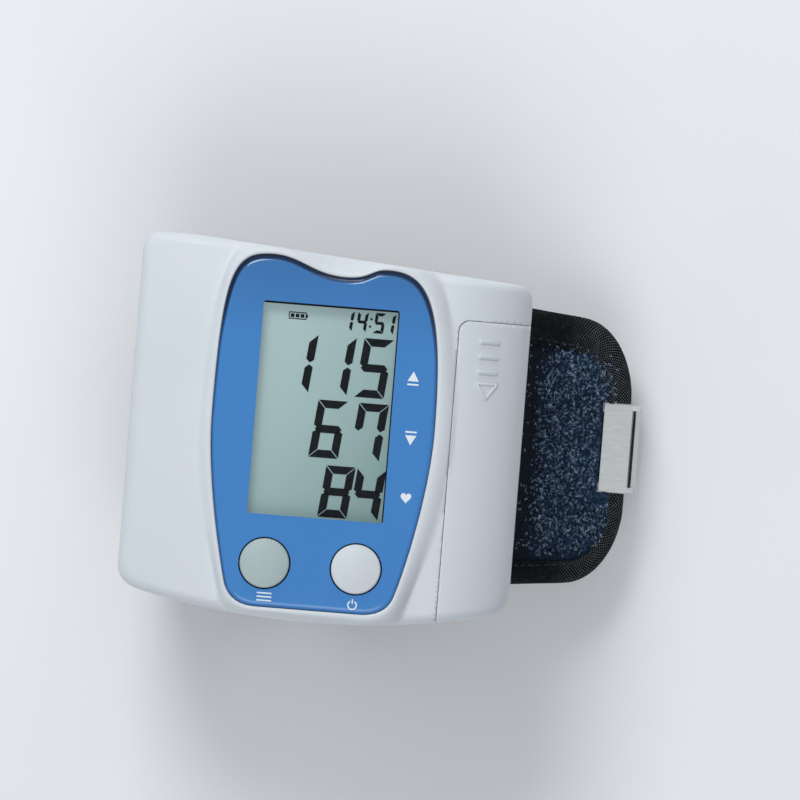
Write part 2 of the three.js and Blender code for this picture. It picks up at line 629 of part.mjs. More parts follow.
// Two cells in series, with their contacts: nubs against plates, flat ends against springs
const contactThickness = 0.4;
const contactHalf = 3.8;
const springWire = 0.35;
const springBig = 3.2;
const springSmall = 2.3;
const springTurns = 3;
const springSides = 3; // in half a round
const springStepsInTurn = 8;
const upperCellY = bayHighY - springRoom - cellLength / 2;
const lowerCellY = bayLowY + springRoom + cellLength / 2;
function cell(name, x, y, z, nubWay) {
  const end = y + nubWay * cellLength / 2;
  const tip = end + nubWay * nubLength;
  const root = end - nubWay * nubLength;
  const body = rodY(x, z, y - cellLength / 2, y + cellLength / 2, cellRadius, roundSides + 4)
    .add(rodY(x, z, Math.min(root, tip), Math.max(root, tip), nubRadius, roundSides / 2));
  add(name, body, 0x6f7a80, 0.4, 0.3);
}
cell('battery_upper', upperCellX, upperCellY, upperCellZ, -1);
cell('battery_lower', lowerCellX, lowerCellY, lowerCellZ, 1);
function coil(name, x, z, startY, way) {
  const length = springRoom - contactThickness - 3 * fitGap - 2 * springWire;
  const points = [];
  for (let i = 0; i <= springTurns * springStepsInTurn; i += 1) {
    const share = i / (springTurns * springStepsInTurn);
    const radius = springBig + (springSmall - springBig) * share;
    const angle = i / springStepsInTurn * turn;
    points.push(new THREE.Vector3(x + radius * Math.cos(angle), startY + way * (length * share + springWire),
      z + radius * Math.sin(angle)));
  }
  const wire = new THREE.Shape();
  wire.absarc(0, 0, springWire, 0, turn);
  add(name, solid(new THREE.ExtrudeGeometry(wire, {
    steps: springTurns * springStepsInTurn,
    bevelEnabled: false,
    extrudePath: new THREE.CatmullRomCurve3(points),
    curveSegments: springSides,
  })), 0xc9ccd0, 0.25, 1);
}
const highPlateY = bayHighY - fitGap;
const lowPlateY = bayLowY + fitGap;
coil('contact_spring_upper', upperCellX, upperCellZ, highPlateY - contactThickness - fitGap, -1);
coil('contact_spring_lower', lowerCellX, lowerCellZ, lowPlateY + contactThickness + fitGap, 1);
const contactRise = contactHalf * 0.6;
add('contact_plate_upper', box(upperCellX - contactHalf, upperCellX + contactHalf,
  highPlateY - contactThickness, highPlateY,
  upperCellZ - contactHalf, upperCellZ + contactRise), 0xc9ccd0, 0.25, 1);
add('contact_plate_lower', box(lowerCellX - contactHalf, lowerCellX + contactHalf,
  highPlateY - contactThickness, highPlateY,
  lowerCellZ - contactRise, lowerCellZ + contactHalf), 0xc9ccd0, 0.25, 1);
add('contact_bridge', box(upperCellX - contactHalf, upperCellX + contactHalf, lowPlateY,
  lowPlateY + contactThickness,
  lowerCellZ - contactRise, upperCellZ + contactRise), 0xc9ccd0, 0.25, 1);

// The cuff's middle line, walked from the top of the hollow: arcs and straights that meet without a corner.
// A station has its place, the way out from the wrist and the length walked so far.
const bandPitch = 5.5;
function walk(pieces) {
  const stations = [{ x: 0, z: cuffTop, outX: 0, outZ: 1, run: 0 }];
  pieces.forEach(({ radius, angle, length, pitch }) => {
    const span = length ?? Math.abs(radius) * radians(angle);
    const steps = Math.max(1, Math.round(span / (pitch ?? bandPitch)));
    const start = stations[stations.length - 1];
    for (let i = 1; i <= steps; i += 1) {
      const part = i / steps;
      const bend = length === undefined ? radians(angle) * part * Math.sign(radius) : 0;
      const outX = start.outX * Math.cos(bend) - start.outZ * Math.sin(bend);
      const outZ = start.outX * Math.sin(bend) + start.outZ * Math.cos(bend);
      const reach = length === undefined ? 0 : length * part;
      const curve = length === undefined ? radius : 0;
      stations.push({
        x: start.x + curve * (outX - start.outX) - reach * start.outZ,
        z: start.z + curve * (outZ - start.outZ) + reach * start.outX,
        outX,
        outZ,
        run: start.run + span * part,
      });
    }
  });
  return stations;
}

const flapArc = 56; // degrees of saddle before the flap turns outward
const flareRadius = 60;
const flareAngle = 20;
const flapStraight = 16;
const flatAngle = saddleAngle;
const sideTurn = 180 - saddleAngle - flatAngle; // degrees of the curl at the side's radius
const restRun = 9.53; // length of the base past the middle of the rest flat, to the strap's joint
const taperRun = 15.39;
const tongueRun = 17.59;
const bottomTurn = (length) => length / strapBottomRadius * 360 / turn; // degrees of the bottom's arc
const rightWalk = walk([
  { radius: underRadius, angle: flapArc },
  { radius: -flareRadius, angle: flareAngle },
  { length: flapStraight, pitch: bandPitch * 0.4 },
]).map((place) => ({ ...place, x: -place.x, outX: -place.outX }));
const leftWalk = walk([
  { radius: underRadius, angle: saddleAngle },
  { radius: sideRadius, angle: sideTurn },
  { radius: strapBottomRadius, angle: flatAngle + bottomTurn(restRun) },
]);
const flapLength = rightWalk[rightWalk.length - 1].run;
const jointRun = leftWalk[leftWalk.length - 1].run;
const strapWalk = walk([
  { radius: underRadius, angle: saddleAngle },
  { radius: sideRadius, angle: sideTurn },
  { radius: strapBottomRadius, angle: flatAngle + bottomTurn(restRun) },
  { radius: strapBottomRadius, angle: bottomTurn(taperRun), pitch: bandPitch * 0.6 },
  { radius: strapBottomRadius, angle: bottomTurn(tongueRun) },
]).filter((place) => place.run >= jointRun - weld);
const baseWalk = [...rightWalk.slice(1).reverse().map((place) => ({ ...place, run: -place.run })),
  ...leftWalk];

// Half width of the band at a length along it: the flap has a D-shaped end with a flat tip
const bandHalf = cuffWidth / 2;
const flapCorner = 14.5; // length of the flap's rounded end
const flapTip = 9.8; // half of its flat tip
const flapTaper = 2.2;
function flapHalf(run, trim) {
  const left = flapLength + run; // to the tip
  const shoulder = bandHalf - flapTaper;
  const round = Math.max(0, 1 - left / flapCorner);
  const wide = flapTip + (shoulder - flapTip) * Math.sqrt(Math.max(0, 1 - round * round));
  const taper = Math.min(1, Math.max(0, (left - flapCorner) / flapCorner)) * flapTaper;
  return wide + taper - trim;
}

// One layer of the band: a ring across it at each station. Low and high are shares of the half thickness
// on the middle of the band, and the edges draw in towards drawn shares of them.
const acrossShares = [-1, -0.86, -0.5, 0, 0.5, 0.86, 1];
function layer(stations, halfAt, low, high, drawnLow, drawnHigh) {
  const rings = stations.map((place) => {
    const half = halfAt(place.run);
    const at = (share, level) => new THREE.Vector3(
      place.x + place.outX * level * cuffHalf,
      share * half,
      place.z + place.outZ * level * cuffHalf,
    );
    const drawn = (share, middle, edge) => middle + (edge - middle) * share ** 4;
    return [
      ...acrossShares.map((share) => at(share, drawn(share, high, drawnHigh))),
      ...[...acrossShares].reverse().map((share) => at(share, drawn(share, low, drawnLow))),
    ];
  });
  return loft(rings);
}
const trimRun = (stations, first, last) => stations
  .filter((place) => place.run >= first && place.run <= last);

// Places of the steel ring at the flap's tip, and of the pin on which it swings
const tipPlace = rightWalk[rightWalk.length - 1];
const pinRadius = 0.8;
const pinBack = 2.5; // from the flap's tip, along the flap
const pinDrop = 1.5; // under the flap's middle line
const pinX = tipPlace.x - pinBack * tipPlace.outZ - pinDrop * tipPlace.outX;
const pinZ = tipPlace.z + pinBack * tipPlace.outX - pinDrop * tipPlace.outZ;
const hemRadius = 2.2;
const hemRoom = 0.5; // between the ring and the hem in it
const ringInner = hemRadius + hemRoom;
const ringThickness = 0.9;
const ringOuter = ringInner + ringThickness;
const ringLength = 18.2;
const ringCheek = 1.1;
const ringFrom = 34; // degrees of the plate, from the way to the right
const ringTo = 128;
const barReach = 8.4;
const barAngle = -60;
const barRadius = 0.8;
const barX = pinX + barReach * Math.cos(radians(barAngle));
const barZ = pinZ + barReach * Math.sin(radians(barAngle));
const ringHalf = ringLength / 2;
const pinHead = 0.5; // thickness
const notchHalf = ringHalf + pinHead + 3 * fitGap;

// Levels across the band, as shares of its half thickness: cloth, curler sheet, bladder and lining
const clothLowShare = 0.55;
const curlerHighShare = 0.43;
const curlerLowShare = 0.13;
const bladderHighShare = 0.01;
const bladderLowShare = -0.62;
const liningHighShare = -0.74;
const edgeLowShare = -0.35;
const edgeHighShare = 0.5;
const innerTrim = 4; // how far the inner layers stop inside the edge
const notch = box(pinX - ringOuter * Math.cos(radians(180 - ringTo)) - 2 * fitGap, housingWidth,
  -notchHalf, notchHalf,
  pinZ - cuffThickness * 2, pinZ + cuffThickness * 2);
const nippleHole = rodZ(nippleX, nippleY, hollowZ - cuffThickness * 2, hollowZ + overrun,
  nippleRadius + fitGap);
const along = (place, by) => ({
  ...place,
  x: place.x - by * place.outZ,
  z: place.z + by * place.outX,
  run: place.run + by,
});
const pocketCut = (stations, half) => layer(stations, half, liningHighShare - 1, clothLowShare,
  liningHighShare - 1, clothLowShare);

// Cloth cover: outer cloth with its edges turned round the layers, cut out at the tip for the ring's tab
const coverHalf = (run) => flapHalf(run, 0);
const notchDepth = pinBack + ringOuter;
const innerHalf = (run) => Math.max(flapTip / 2, flapHalf(run, innerTrim));
const innerEnd = -flapLength + notchDepth + innerTrim / 2;
const baseInner = trimRun(baseWalk, innerEnd, jointRun);
const clothBody = layer(baseWalk, coverHalf, -1, 1, edgeLowShare, edgeHighShare);
const basePocket = [...baseInner, along(leftWalk[leftWalk.length - 1], overrun)];
const restCut = box(-housingWidth, housingWidth, -housingLength, housingLength, -housingLength, 0);
const cuffCover = clothBody.subtract(pocketCut(basePocket, (run) => innerHalf(run) + fitGap)).subtract(notch)
  .subtract(nippleHole).subtract(restCut);
add('cuff_cover', cuffCover, 0x16202e, 0.9, 0);
const liningWalk = trimRun(baseWalk, innerEnd + bandPitch / 2, jointRun);
add('cuff_lining', layer(liningWalk, innerHalf, -1, liningHighShare, -1, liningHighShare), 0x1b1e22, 0.9, 0);
const bladderHalfLength = 26;
const bladderWalk = trimRun(baseWalk, -bladderHalfLength, bladderHalfLength);
add('air_bladder', layer(bladderWalk, (run) => innerHalf(run) - fitGap * 2, bladderLowShare,
  bladderHighShare,
  bladderLowShare * 0.8, bladderHighShare), 0x9aa0a4, 0.6, 0);
const curlerWalk = trimRun(baseWalk, -underRadius * radians(flapArc), jointRun);
add('curler_plate', layer(curlerWalk, (run) => innerHalf(run) - fitGap * 2, curlerLowShare, curlerHighShare,
  curlerLowShare, curlerHighShare).subtract(nippleHole), 0xe4e4de, 0.5, 0);
const bladderTop = (x) => saddleZ + Math.sqrt((underRadius + cuffHalf * bladderHighShare) ** 2 - x * x);
add('air_nipple', rodZ(nippleX, nippleY, bladderTop(nippleX + nippleRadius) + fitGap,
  manifoldBottom - fitGap,
  nippleRadius, roundSides / 2), 0xe0e0dc, 0.5, 0);

// Strap: the soft end past the rest flat. It narrows to a tongue of webbing with a hook patch
const tongueHalf = 7.4;
const coverTip = tongueHalf + 2 * cuffHalf * 0.4; // half width of the cloth where the tongue leaves it
function strapHalf(run) {
  const past = Math.min(1, Math.max(0, (run - jointRun) / taperRun));
  return coverTip + (bandHalf - coverTip) * Math.sqrt(Math.max(0, 1 - past * past));
}
const coverEndRun = jointRun + taperRun;
const strapStations = [along(strapWalk[0], fitGap), ...strapWalk.slice(1)];
const strapCoverWalk = strapStations.filter((place) => place.run <= coverEndRun + weld);
const strapInnerHalf = (run) => Math.max(tongueHalf, strapHalf(run) - innerTrim);
const strapPocket = strapStations.filter((place) => place.run <= coverEndRun - bandPitch);
const strapInnerWalk = strapPocket.slice(0, -1);
const strapCover = layer(strapCoverWalk, strapHalf, -1, 1, edgeLowShare, edgeHighShare)
  .subtract(pocketCut([along(strapPocket[0], -overrun), ...strapPocket],
    (run) => strapInnerHalf(run) + fitGap))
  .subtract(restCut);
add('strap_cover', strapCover, 0x16202e, 0.9, 0);
add('strap_lining', layer(strapInnerWalk, strapInnerHalf, -1, liningHighShare, -1, liningHighShare),
  0x1b1e22, 0.9, 0);
add('strap_stiffener', layer(strapInnerWalk, (run) => strapInnerHalf(run) - fitGap * 2, curlerLowShare,
  curlerHighShare,
  curlerLowShare, curlerHighShare), 0xe4e4de, 0.5, 0);
const tongueHighShare = 0.2;
const tongueLowShare = -0.5;
const tongueSewn = strapStations.filter((place) => place.run > coverEndRun - weld);
const tongueWalk = [along(tongueSewn[0], fitGap), ...tongueSewn.slice(1)];
add('strap_tongue', layer(tongueWalk, () => tongueHalf, tongueLowShare, tongueHighShare,
  tongueLowShare * 0.9,
  tongueHighShare * 0.9), 0x14181c, 0.9, 0);
const hookShare = 0.6;
const hookInset = 1;
const hookWalk = tongueWalk.slice(1);
add('hook_patch', layer(hookWalk, () => tongueHalf - hookInset, tongueHighShare + fitGap / cuffHalf,
  tongueHighShare + hookShare, tongueHighShare + fitGap / cuffHalf, tongueHighShare + hookShare),
    0x0f1114, 0.95, 0);

// Steel ring at the flap's tip: a curved plate over the hem, two cheeks and an outer bar, loose on its pin
const plateSector = new THREE.Shape();
plateSector.absarc(pinX, pinZ, ringOuter, radians(ringFrom), radians(ringTo), false);
plateSector.absarc(pinX, pinZ, ringInner, radians(ringTo), radians(ringFrom), true);
const cheekBoss = pinRadius + 3 * fitGap;
const cheek = new THREE.Shape();
cheek.absarc(barX, barZ, barRadius, radians(barAngle - 90), radians(barAngle + 90), false);
cheek.absarc(pinX, pinZ, ringOuter, radians(ringFrom), radians(ringTo), false);
cheek.absarc(pinX, pinZ, cheekBoss, radians(ringTo), radians(barAngle + 270), false);
let ring = plateY(plateSector, -ringHalf, ringHalf)
  .add(rodY(barX, barZ, -ringHalf, ringHalf, barRadius, 12));
[[-ringHalf, ringCheek - ringHalf], [ringHalf - ringCheek, ringHalf]].forEach(([low, high]) => {
  ring = ring.add(plateY(cheek, low, high));
});
ring = ring.subtract(rodY(pinX, pinZ, -ringLength, ringLength, pinRadius + fitGap, 12));
add('cuff_ring', ring, 0xb5b9bd, 0.15, 1);
const headRadius = pinRadius + 2 * fitGap;
const pinEnd = ringHalf + fitGap;
const ringPin = rodY(pinX, pinZ, -pinEnd - pinHead / 2, pinEnd + pinHead / 2, pinRadius, 12)
  .add(rodY(pinX, pinZ, -pinEnd - pinHead, -pinEnd, headRadius, 12))
  .add(rodY(pinX, pinZ, pinEnd, pinEnd + pinHead, headRadius, 12));
add('ring_pin', ringPin, 0x9c9fa3, 0.3, 1);

// Webbing tab: folded round the pin and sewn under the flap
const tabHalf = ringHalf - ringCheek - 2 * fitGap;
const tabThickness = 1.2;
const tabBack = 11; // how far back it is sewn
const tabDepth = cuffHalf * 1.02 + fitGap;
const tabPoint = (back, depth) => [
  tipPlace.x - back * tipPlace.outZ - depth * tipPlace.outX,
  tipPlace.z + back * tipPlace.outX - depth * tipPlace.outZ,
];
const tabShape = new THREE.Shape();
tabShape.moveTo(...tabPoint(tabBack, tabDepth));
tabShape.lineTo(...tabPoint(pinBack + hemRadius, tabDepth));
tabShape.lineTo(...tabPoint(pinBack, pinDrop));
tabShape.lineTo(...tabPoint(pinBack, tabDepth + tabThickness));
tabShape.lineTo(...tabPoint(tabBack, tabDepth + tabThickness));
const tab = plateY(tabShape, -tabHalf, tabHalf).add(rodY(pinX, pinZ, -tabHalf, tabHalf, hemRadius, 16))
  .subtract(rodY(pinX, pinZ, -ringLength, ringLength, pinRadius + fitGap, 12));
add('ring_tab', tab, 0x14181c, 0.9, 0);

export default object;
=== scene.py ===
"""Wrist blood pressure monitor: moulded housing with a blue display panel, on a curled cloth cuff."""
import json
import math
import random

import bmesh
import bpy
from mathutils import Matrix, Vector
from mathutils.geometry import interpolate_bezier
from mathutils.noise import noise as noise_at


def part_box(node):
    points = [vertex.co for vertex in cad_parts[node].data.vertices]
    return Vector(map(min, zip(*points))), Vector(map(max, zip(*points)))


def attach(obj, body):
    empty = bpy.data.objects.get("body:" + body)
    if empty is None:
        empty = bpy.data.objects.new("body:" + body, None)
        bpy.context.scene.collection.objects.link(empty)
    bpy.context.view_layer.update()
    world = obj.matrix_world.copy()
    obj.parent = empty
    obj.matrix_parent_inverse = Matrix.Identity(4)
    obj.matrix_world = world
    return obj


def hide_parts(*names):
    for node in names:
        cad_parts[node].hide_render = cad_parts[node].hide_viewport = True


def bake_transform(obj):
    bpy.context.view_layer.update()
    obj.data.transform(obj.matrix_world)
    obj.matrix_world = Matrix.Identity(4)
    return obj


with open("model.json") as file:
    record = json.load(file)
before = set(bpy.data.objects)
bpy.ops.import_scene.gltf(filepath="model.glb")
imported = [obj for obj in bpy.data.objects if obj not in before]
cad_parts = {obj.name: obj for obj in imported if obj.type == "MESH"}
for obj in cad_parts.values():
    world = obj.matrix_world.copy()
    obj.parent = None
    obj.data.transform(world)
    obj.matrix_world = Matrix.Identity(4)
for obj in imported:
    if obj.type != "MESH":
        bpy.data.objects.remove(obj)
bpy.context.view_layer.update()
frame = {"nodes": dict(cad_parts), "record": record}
MM = 0.001


# Studio: a plain pale floor that runs on past the view, soft lamps from the top left, the front and low
# behind, and the camera straight above the panel, as in the photograph.
aim = Vector((0.0153, 0.0075, 0.081))
view_field, view_far, sensor_wide = 0.1624, 3.0, 36
view_up, view_back = Vector((-0.0802, 0.9968, 0)), Vector((0, 0, 1))
floor_half = 6
backdrop = (0.83, 0.845, 0.86, 1)
lit_spot = Vector((0.01, 0, 0.05))


def added(name, data):
    """A new object in the scene; data is its mesh, lamp or camera."""
    made = bpy.data.objects.new(name, data)
    bpy.context.scene.collection.objects.link(made)
    return made


def mesh_of(name, bm):
    """The mesh of a bmesh that is done with."""
    mesh = bpy.data.meshes.new(name)
    bm.to_mesh(mesh)
    bm.free()
    return mesh


camera = added("camera", bpy.data.cameras.new("camera"))
camera.data.lens = sensor_wide * view_far / view_field
camera.matrix_world = Matrix.Translation(aim + view_back * view_far) @ Matrix(
    (view_up.cross(view_back), view_up, view_back)).transposed().to_4x4()
bpy.context.scene.camera = camera
bpy.context.scene.view_settings.view_transform = "Standard"


class Value:
    """One output of a shader node, so that a pattern is written as a sum."""

    def __init__(self, tree, socket):
        self.tree, self.socket = tree, socket

    def node(self, kind, settings=None, **inputs):
        """Another node of the same tree; its inputs are numbers, colours or values."""
        made = self.tree.nodes.new(kind)
        for key, setting in (settings or {}).items():
            setattr(made, key, setting)
        feed(made, **inputs)
        return Value(self.tree, made.outputs[0])

    def out(self, name):
        return Value(self.tree, self.socket.node.outputs[name])

    def axis(self, name):
        """One coordinate, X, Y or Z, of a place or a direction."""
        return self.node("ShaderNodeSeparateXYZ", Vector=self).out(name)

    def _maths(self, operation, a, b=0.0):
        return self.node("ShaderNodeMath", {"operation": operation}, i0=a, i1=b)

    def __add__(self, other):
        return self._maths("ADD", self, other)

    def __radd__(self, other):
        return self._maths("ADD", other, self)

    def __sub__(self, other):
        return self._maths("SUBTRACT", self, other)

    def __rsub__(self, other):
        return self._maths("SUBTRACT", other, self)

    def __mul__(self, other):
        return self._maths("MULTIPLY", self, other)

    def __rmul__(self, other):
        return self._maths("MULTIPLY", other, self)

    def __truediv__(self, other):
        return self._maths("DIVIDE", self, other)

    def maximum(self, other):
        return self._maths("MAXIMUM", self, other)

    def sine(self):
        return self._maths("SINE", self)

    def absolute(self):
        return self._maths("ABSOLUTE", self)

    def wave(self, pitch):
        """A sine wave over this value, one turn in each pitch."""
        return (self * (2 * math.pi / pitch)).sine()

    def ramp(self, low, high, bottom=0.0, top=1.0):
        """This value spread from low..high to bottom..top, held at the ends."""
        return self.node("ShaderNodeMapRange", {"clamp": True}, Value=self, From_Min=low, From_Max=high,
                         To_Min=bottom, To_Max=top)

    def within(self, bottom=0.0, top=1.0):
        """A noise field's usual range, 0.3 to 0.7, spread to bottom..top."""
        return self.ramp(0.3, 0.7, bottom, top)

    def colours(self, a, b):
        """From colour a, where this value is 0, to colour b, where it is 1; three numbers are as on screen."""
        a, b = (srgb(*c) if isinstance(c, tuple) and len(c) == 3 else c for c in (a, b))
        mixed = self.node("ShaderNodeMix", {"data_type": "RGBA"}, Factor=self, i6=a, i7=b)
        return Value(self.tree, mixed.socket.node.outputs[2])


def feed(node, **values):
    """Sets a node's inputs to numbers or colours, or links values to them; i0 is its first input."""
    for key, value in values.items():
        target = node.inputs[int(key[1:]) if key[1:].isdigit() else key.replace("_", " ")]
        if isinstance(value, Value):
            value.tree.links.new(value.socket, target)
        else:
            target.default_value = value


def srgb(red, green, blue):
    """A colour as it reads on screen, 0 to 255, as the shader's own numbers."""
    return tuple((c / 255 / 12.92 if c / 255 <= 0.04045 else ((c / 255 + 0.055) / 1.055) ** 2.4)
                 for c in (red, green, blue)) + (1,)


def material(name):
    """A new material, its shader and a Value on its Object coordinates."""
    made = bpy.data.materials.new(name)
    made.use_nodes = True
    tree = made.node_tree
    place = Value(tree, tree.nodes.new("ShaderNodeTexCoord").outputs["Object"])
    return made, tree.nodes["Principled BSDF"], place


def noise(place, per_metre, detail=3, rough=0.55):
    """Soft random field of 0 to 1, with features one per_metre-th of a metre across."""
    return place.node("ShaderNodeTexNoise", Vector=place, Scale=per_metre, Detail=detail, Roughness=rough)


def bumped(shader, height, depth_mm):
    feed(shader, Normal=height.node("ShaderNodeBump", Height=height, Distance=depth_mm * MM, Strength=1.0))


bm = bmesh.new()
bmesh.ops.create_grid(bm, x_segments=1, y_segments=1, size=floor_half)
floor = added("floor", mesh_of("floor", bm))
floor_paper, floor_shader, floor_place = material("floor_paper")
feed(floor_shader, Base_Color=noise(floor_place, 8).within().colours((236, 238, 241), (240, 242, 244)),
     Roughness=0.9)
floor.data.materials.append(floor_paper)

world = bpy.data.worlds.new("studio")
bpy.context.scene.world = world
world.use_nodes = True
sky = world.node_tree
ray = Value(sky, sky.nodes.new("ShaderNodeLightPath").outputs["Is Camera Ray"])
seen = ray.maximum(ray.out("Is Glossy Ray")).maximum(ray.out("Is Transmission Ray"))
dim_right = ray.node("ShaderNodeTexCoord").out("Generated").axis("X").ramp(0.3, 0.62)
soft_light = dim_right.colours((0.62, 0.64, 0.67, 1), (0.12, 0.12, 0.13, 1))
feed(sky.nodes["Background"], Color=seen.colours(soft_light, backdrop), Strength=0.78)


def lamp(name, place, size, watts):
    """A soft lamp that looks at the monitor; size is its width and height."""
    light = bpy.data.lights.new(name, "AREA")
    light.shape, light.energy = "ELLIPSE", watts
    light.size, light.size_y = size
    at = Vector(place)
    added(name, light).matrix_world = Matrix.Translation(at) @ (
        lit_spot - at).to_track_quat("-Z", "Y").to_matrix().to_4x4()


lamp("window_lamp", (-0.3, 0.7, 1.15), (0.5, 0.5), 6.8)
lamp("fill_lamp", (0.0, -0.65, 1.35), (0.9, 0.9), 4.6)
lamp("rim_lamp", (0.05, 0.95, 0.3), (0.8, 0.15), 2.0)


# Upper cover: pale satin plastic, injection moulded in one piece with a raised surround for the blue panel
# and a shallow thumb scoop at its top. Its skin rolls over at the right, down to the cuff.
cover_low, cover_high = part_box("front_cover")
panel_low, panel_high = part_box("display_bezel")
split_z = cover_low.z / MM
surround_z = cover_high.z / MM
surround_rise = 1.5
skin_top = surround_z - surround_rise
left_x = cover_low.x / MM
right_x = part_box("battery_cover")[1].x / MM
width = right_x - left_x
length = 75.6
top_left_y = length / 2
top_right_y = top_left_y - 5
bottom_left_y = -length * 0.453
bottom_right_y = -length * 0.447
bottom_bow = 5.6
corner = 4
panel_left, panel_right = panel_low.x / MM, panel_high.x / MM
panel_bottom = panel_low.y / MM
lean = (panel_right - panel_left) / 8
left_hump = (-12.5, panel_high.y / MM)
right_hump = (10.8, 33.4)
dip = (2.4, 31.3)
waist_y, shoulder_y = 2, 30.5
shell_centre = Vector((0, -1, 0))
RAYS = 360


def outline(start, *stretches, steps=24):
    """Points along a closed outline; each stretch names the further points of its line, arc or curve."""
    points, a = [], Vector((*start, 0))
    for stretch in stretches:
        *between, b = (Vector((*p, 0)) for p in stretch)
        if not between:
            between = a.lerp(b, 1 / 3), a.lerp(b, 2 / 3)
        elif len(between) == 1:
            between = a.lerp(between[0], 2 / 3), b.lerp(between[0], 2 / 3)
        points += interpolate_bezier(a, *between, b, steps + 1)[:-1]
        a = b
    return points


def on_rays(points):
    """The outline's points on evenly spaced rays from the shell's centre."""
    polar = sorted((math.atan2(p.y - shell_centre.y, p.x - shell_centre.x), i) for i, p in enumerate(points))
    ring, at = [], 0
    for i in range(RAYS):
        angle = -math.pi + 2 * math.pi * (i + 0.5) / RAYS
        while at < len(polar) and polar[at][0] < angle:
            at += 1
        a, b = points[polar[at - 1][1]], points[polar[at % len(polar)][1]]
        side = Vector((-math.sin(angle), math.cos(angle), 0))
        da, db = (a - shell_centre).dot(side), (b - shell_centre).dot(side)
        ring.append(a.lerp(b, da / (da - db) if abs(da - db) > 1e-9 else 0))
    return ring


def from_right(left, up):
    """A point of the panel's foot, in leans from its bottom right corner; from_left is its mirror."""
    return panel_right - lean * left, panel_bottom + lean * up


def from_left(right, up):
    return panel_left + lean * right, panel_bottom + lean * up


low_right = (right_x - corner * 1.4, bottom_right_y - bottom_bow * 0.3)
low_left = (left_x + corner * 1.4, bottom_left_y - bottom_bow * 0.2)
housing_ring = on_rays(outline(
    (left_x, bottom_left_y + corner),
    ((left_x, top_left_y - corner),),
    ((left_x, top_left_y), (left_x + corner, top_left_y)),
    ((left_x + width * 0.13, top_left_y),),
    ((right_x - corner, top_right_y),),
    ((right_x, top_right_y), (right_x, top_right_y - corner)),
    ((right_x, bottom_right_y + corner),),
    ((right_x, bottom_right_y - bottom_bow * 0.2), low_right),
    ((0, bottom_right_y - bottom_bow * 1.6), low_left),
    ((left_x, bottom_left_y), (left_x, bottom_left_y + corner))))
panel_ring = on_rays(outline(
    (panel_left, waist_y),
    ((panel_left, shoulder_y), (panel_left + lean * 0.27, left_hump[1] + 0.1), left_hump),
    ((left_hump[0] + lean, left_hump[1]), (dip[0] - lean * 1.2, dip[1]), dip),
    ((dip[0] + lean * 0.9, dip[1]), (right_hump[0] - lean * 0.6, right_hump[1]), right_hump),
    ((panel_right - lean * 0.6, right_hump[1] + 0.2), (panel_right, shoulder_y - 3.5),
     (panel_right, waist_y)),
    ((panel_right, waist_y - lean * 2.4), from_right(0.75, 1.4), from_right(1, 0.7)),
    (from_right(1.25, 0), from_right(2.2, 0)),
    (from_left(2.1, 0),),
    (from_left(1.15, 0), from_left(0.9, 0.8)),
    (from_left(0.7, 1.6), (panel_left, waist_y - lean * 2.4), (panel_left, waist_y))))
flat_half, left_roll = width * 0.29, width * 0.201
right_drop, left_drop, end_drop = 15, 3.4, 1.6
surround_lip = 0.7
scoop_centre = Vector((dip[0], dip[1] + 5.4, 0))
scoop_wide, scoop_long, scoop_deep = 10.5, 7.6, 2.2


def smooth_step(low, high, value):
    t = min(1, max(0, (value - low) / (high - low)))
    return t * t * (3 - 2 * t)


def skin_z(x, y):
    """Height of the cover's skin without its surround: it falls away at the right, the left and both ends."""
    over = max(0, (x - flat_half) / (right_x * 1.02 - flat_half))
    away = max(0, (-flat_half - x) / left_roll)
    end = abs(y) / top_left_y
    right = right_drop * (1 - math.sqrt(max(0, 1 - over * over)))
    return skin_top - right - left_drop * away * away - end_drop * end ** 3


def cover_z(x, y, outside):
    """Height of the whole skin; outside is how far the point lies outside the panel."""
    z = skin_z(x, y)
    foot = 2.5 + 1.7 * smooth_step(-10, 22, x)
    down = min(1, max(0, (outside - surround_lip) / (foot - surround_lip)))
    z += (surround_z - z) * (1 - down ** 1.7)
    reach = ((x - scoop_centre.x) / scoop_wide) ** 2 + ((y - scoop_centre.y) / scoop_long) ** 2
    return z - scoop_deep * (1 - smooth_step(0, 1, math.sqrt(reach)))


def bridged(rings, caps=()):
    """A skin over rings of equal count, each bridged to the next; caps are the rings that are filled."""
    bm = bmesh.new()
    loops = []
    for ring in rings:
        verts = [bm.verts.new(p) for p in ring]
        loops.append([bm.edges.new(pair) for pair in zip(verts, verts[1:] + verts[:1])])
    for low, high in zip(loops, loops[1:]):
        bmesh.ops.bridge_loops(bm, edges=low + high)
    for index in caps:
        bmesh.ops.contextual_create(bm, geom=loops[index])
    bmesh.ops.recalc_face_normals(bm, faces=bm.faces)
    return bm


def finished(name, bm):
    """A piece from a bmesh in millimetres."""
    mesh = mesh_of(name, bm)
    mesh.transform(Matrix.Scale(MM, 4))
    mesh.shade_smooth()
    return added(name, mesh)


def bake(piece):
    """Applies a piece's modifiers, so that the next step starts from its final mesh."""
    bpy.context.view_layer.update()
    mesh = bpy.data.meshes.new_from_object(piece.evaluated_get(bpy.context.evaluated_depsgraph_get()))
    piece.modifiers.clear()
    piece.data = mesh
    return piece


def settle(piece, slot, look, *nodes):
    """Gives a piece its look, and lets it stand for the CAD nodes named, which are hidden; slot is not used.
    """
    if nodes:
        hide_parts(*nodes)
    piece.data.materials.clear()
    piece.data.materials.append(look)


cover_wall = 1.6
edge_round = 2.4
panel_fit = 0.13
recess_depth = 2.0
lip_round = 0.35
floor_inset, floor_thick = 2.2, 1
wall_steps, edge_steps, skin_steps = 3, 9, 34
floor_z = surround_z - recess_depth
facing = list(zip(housing_ring, panel_ring))


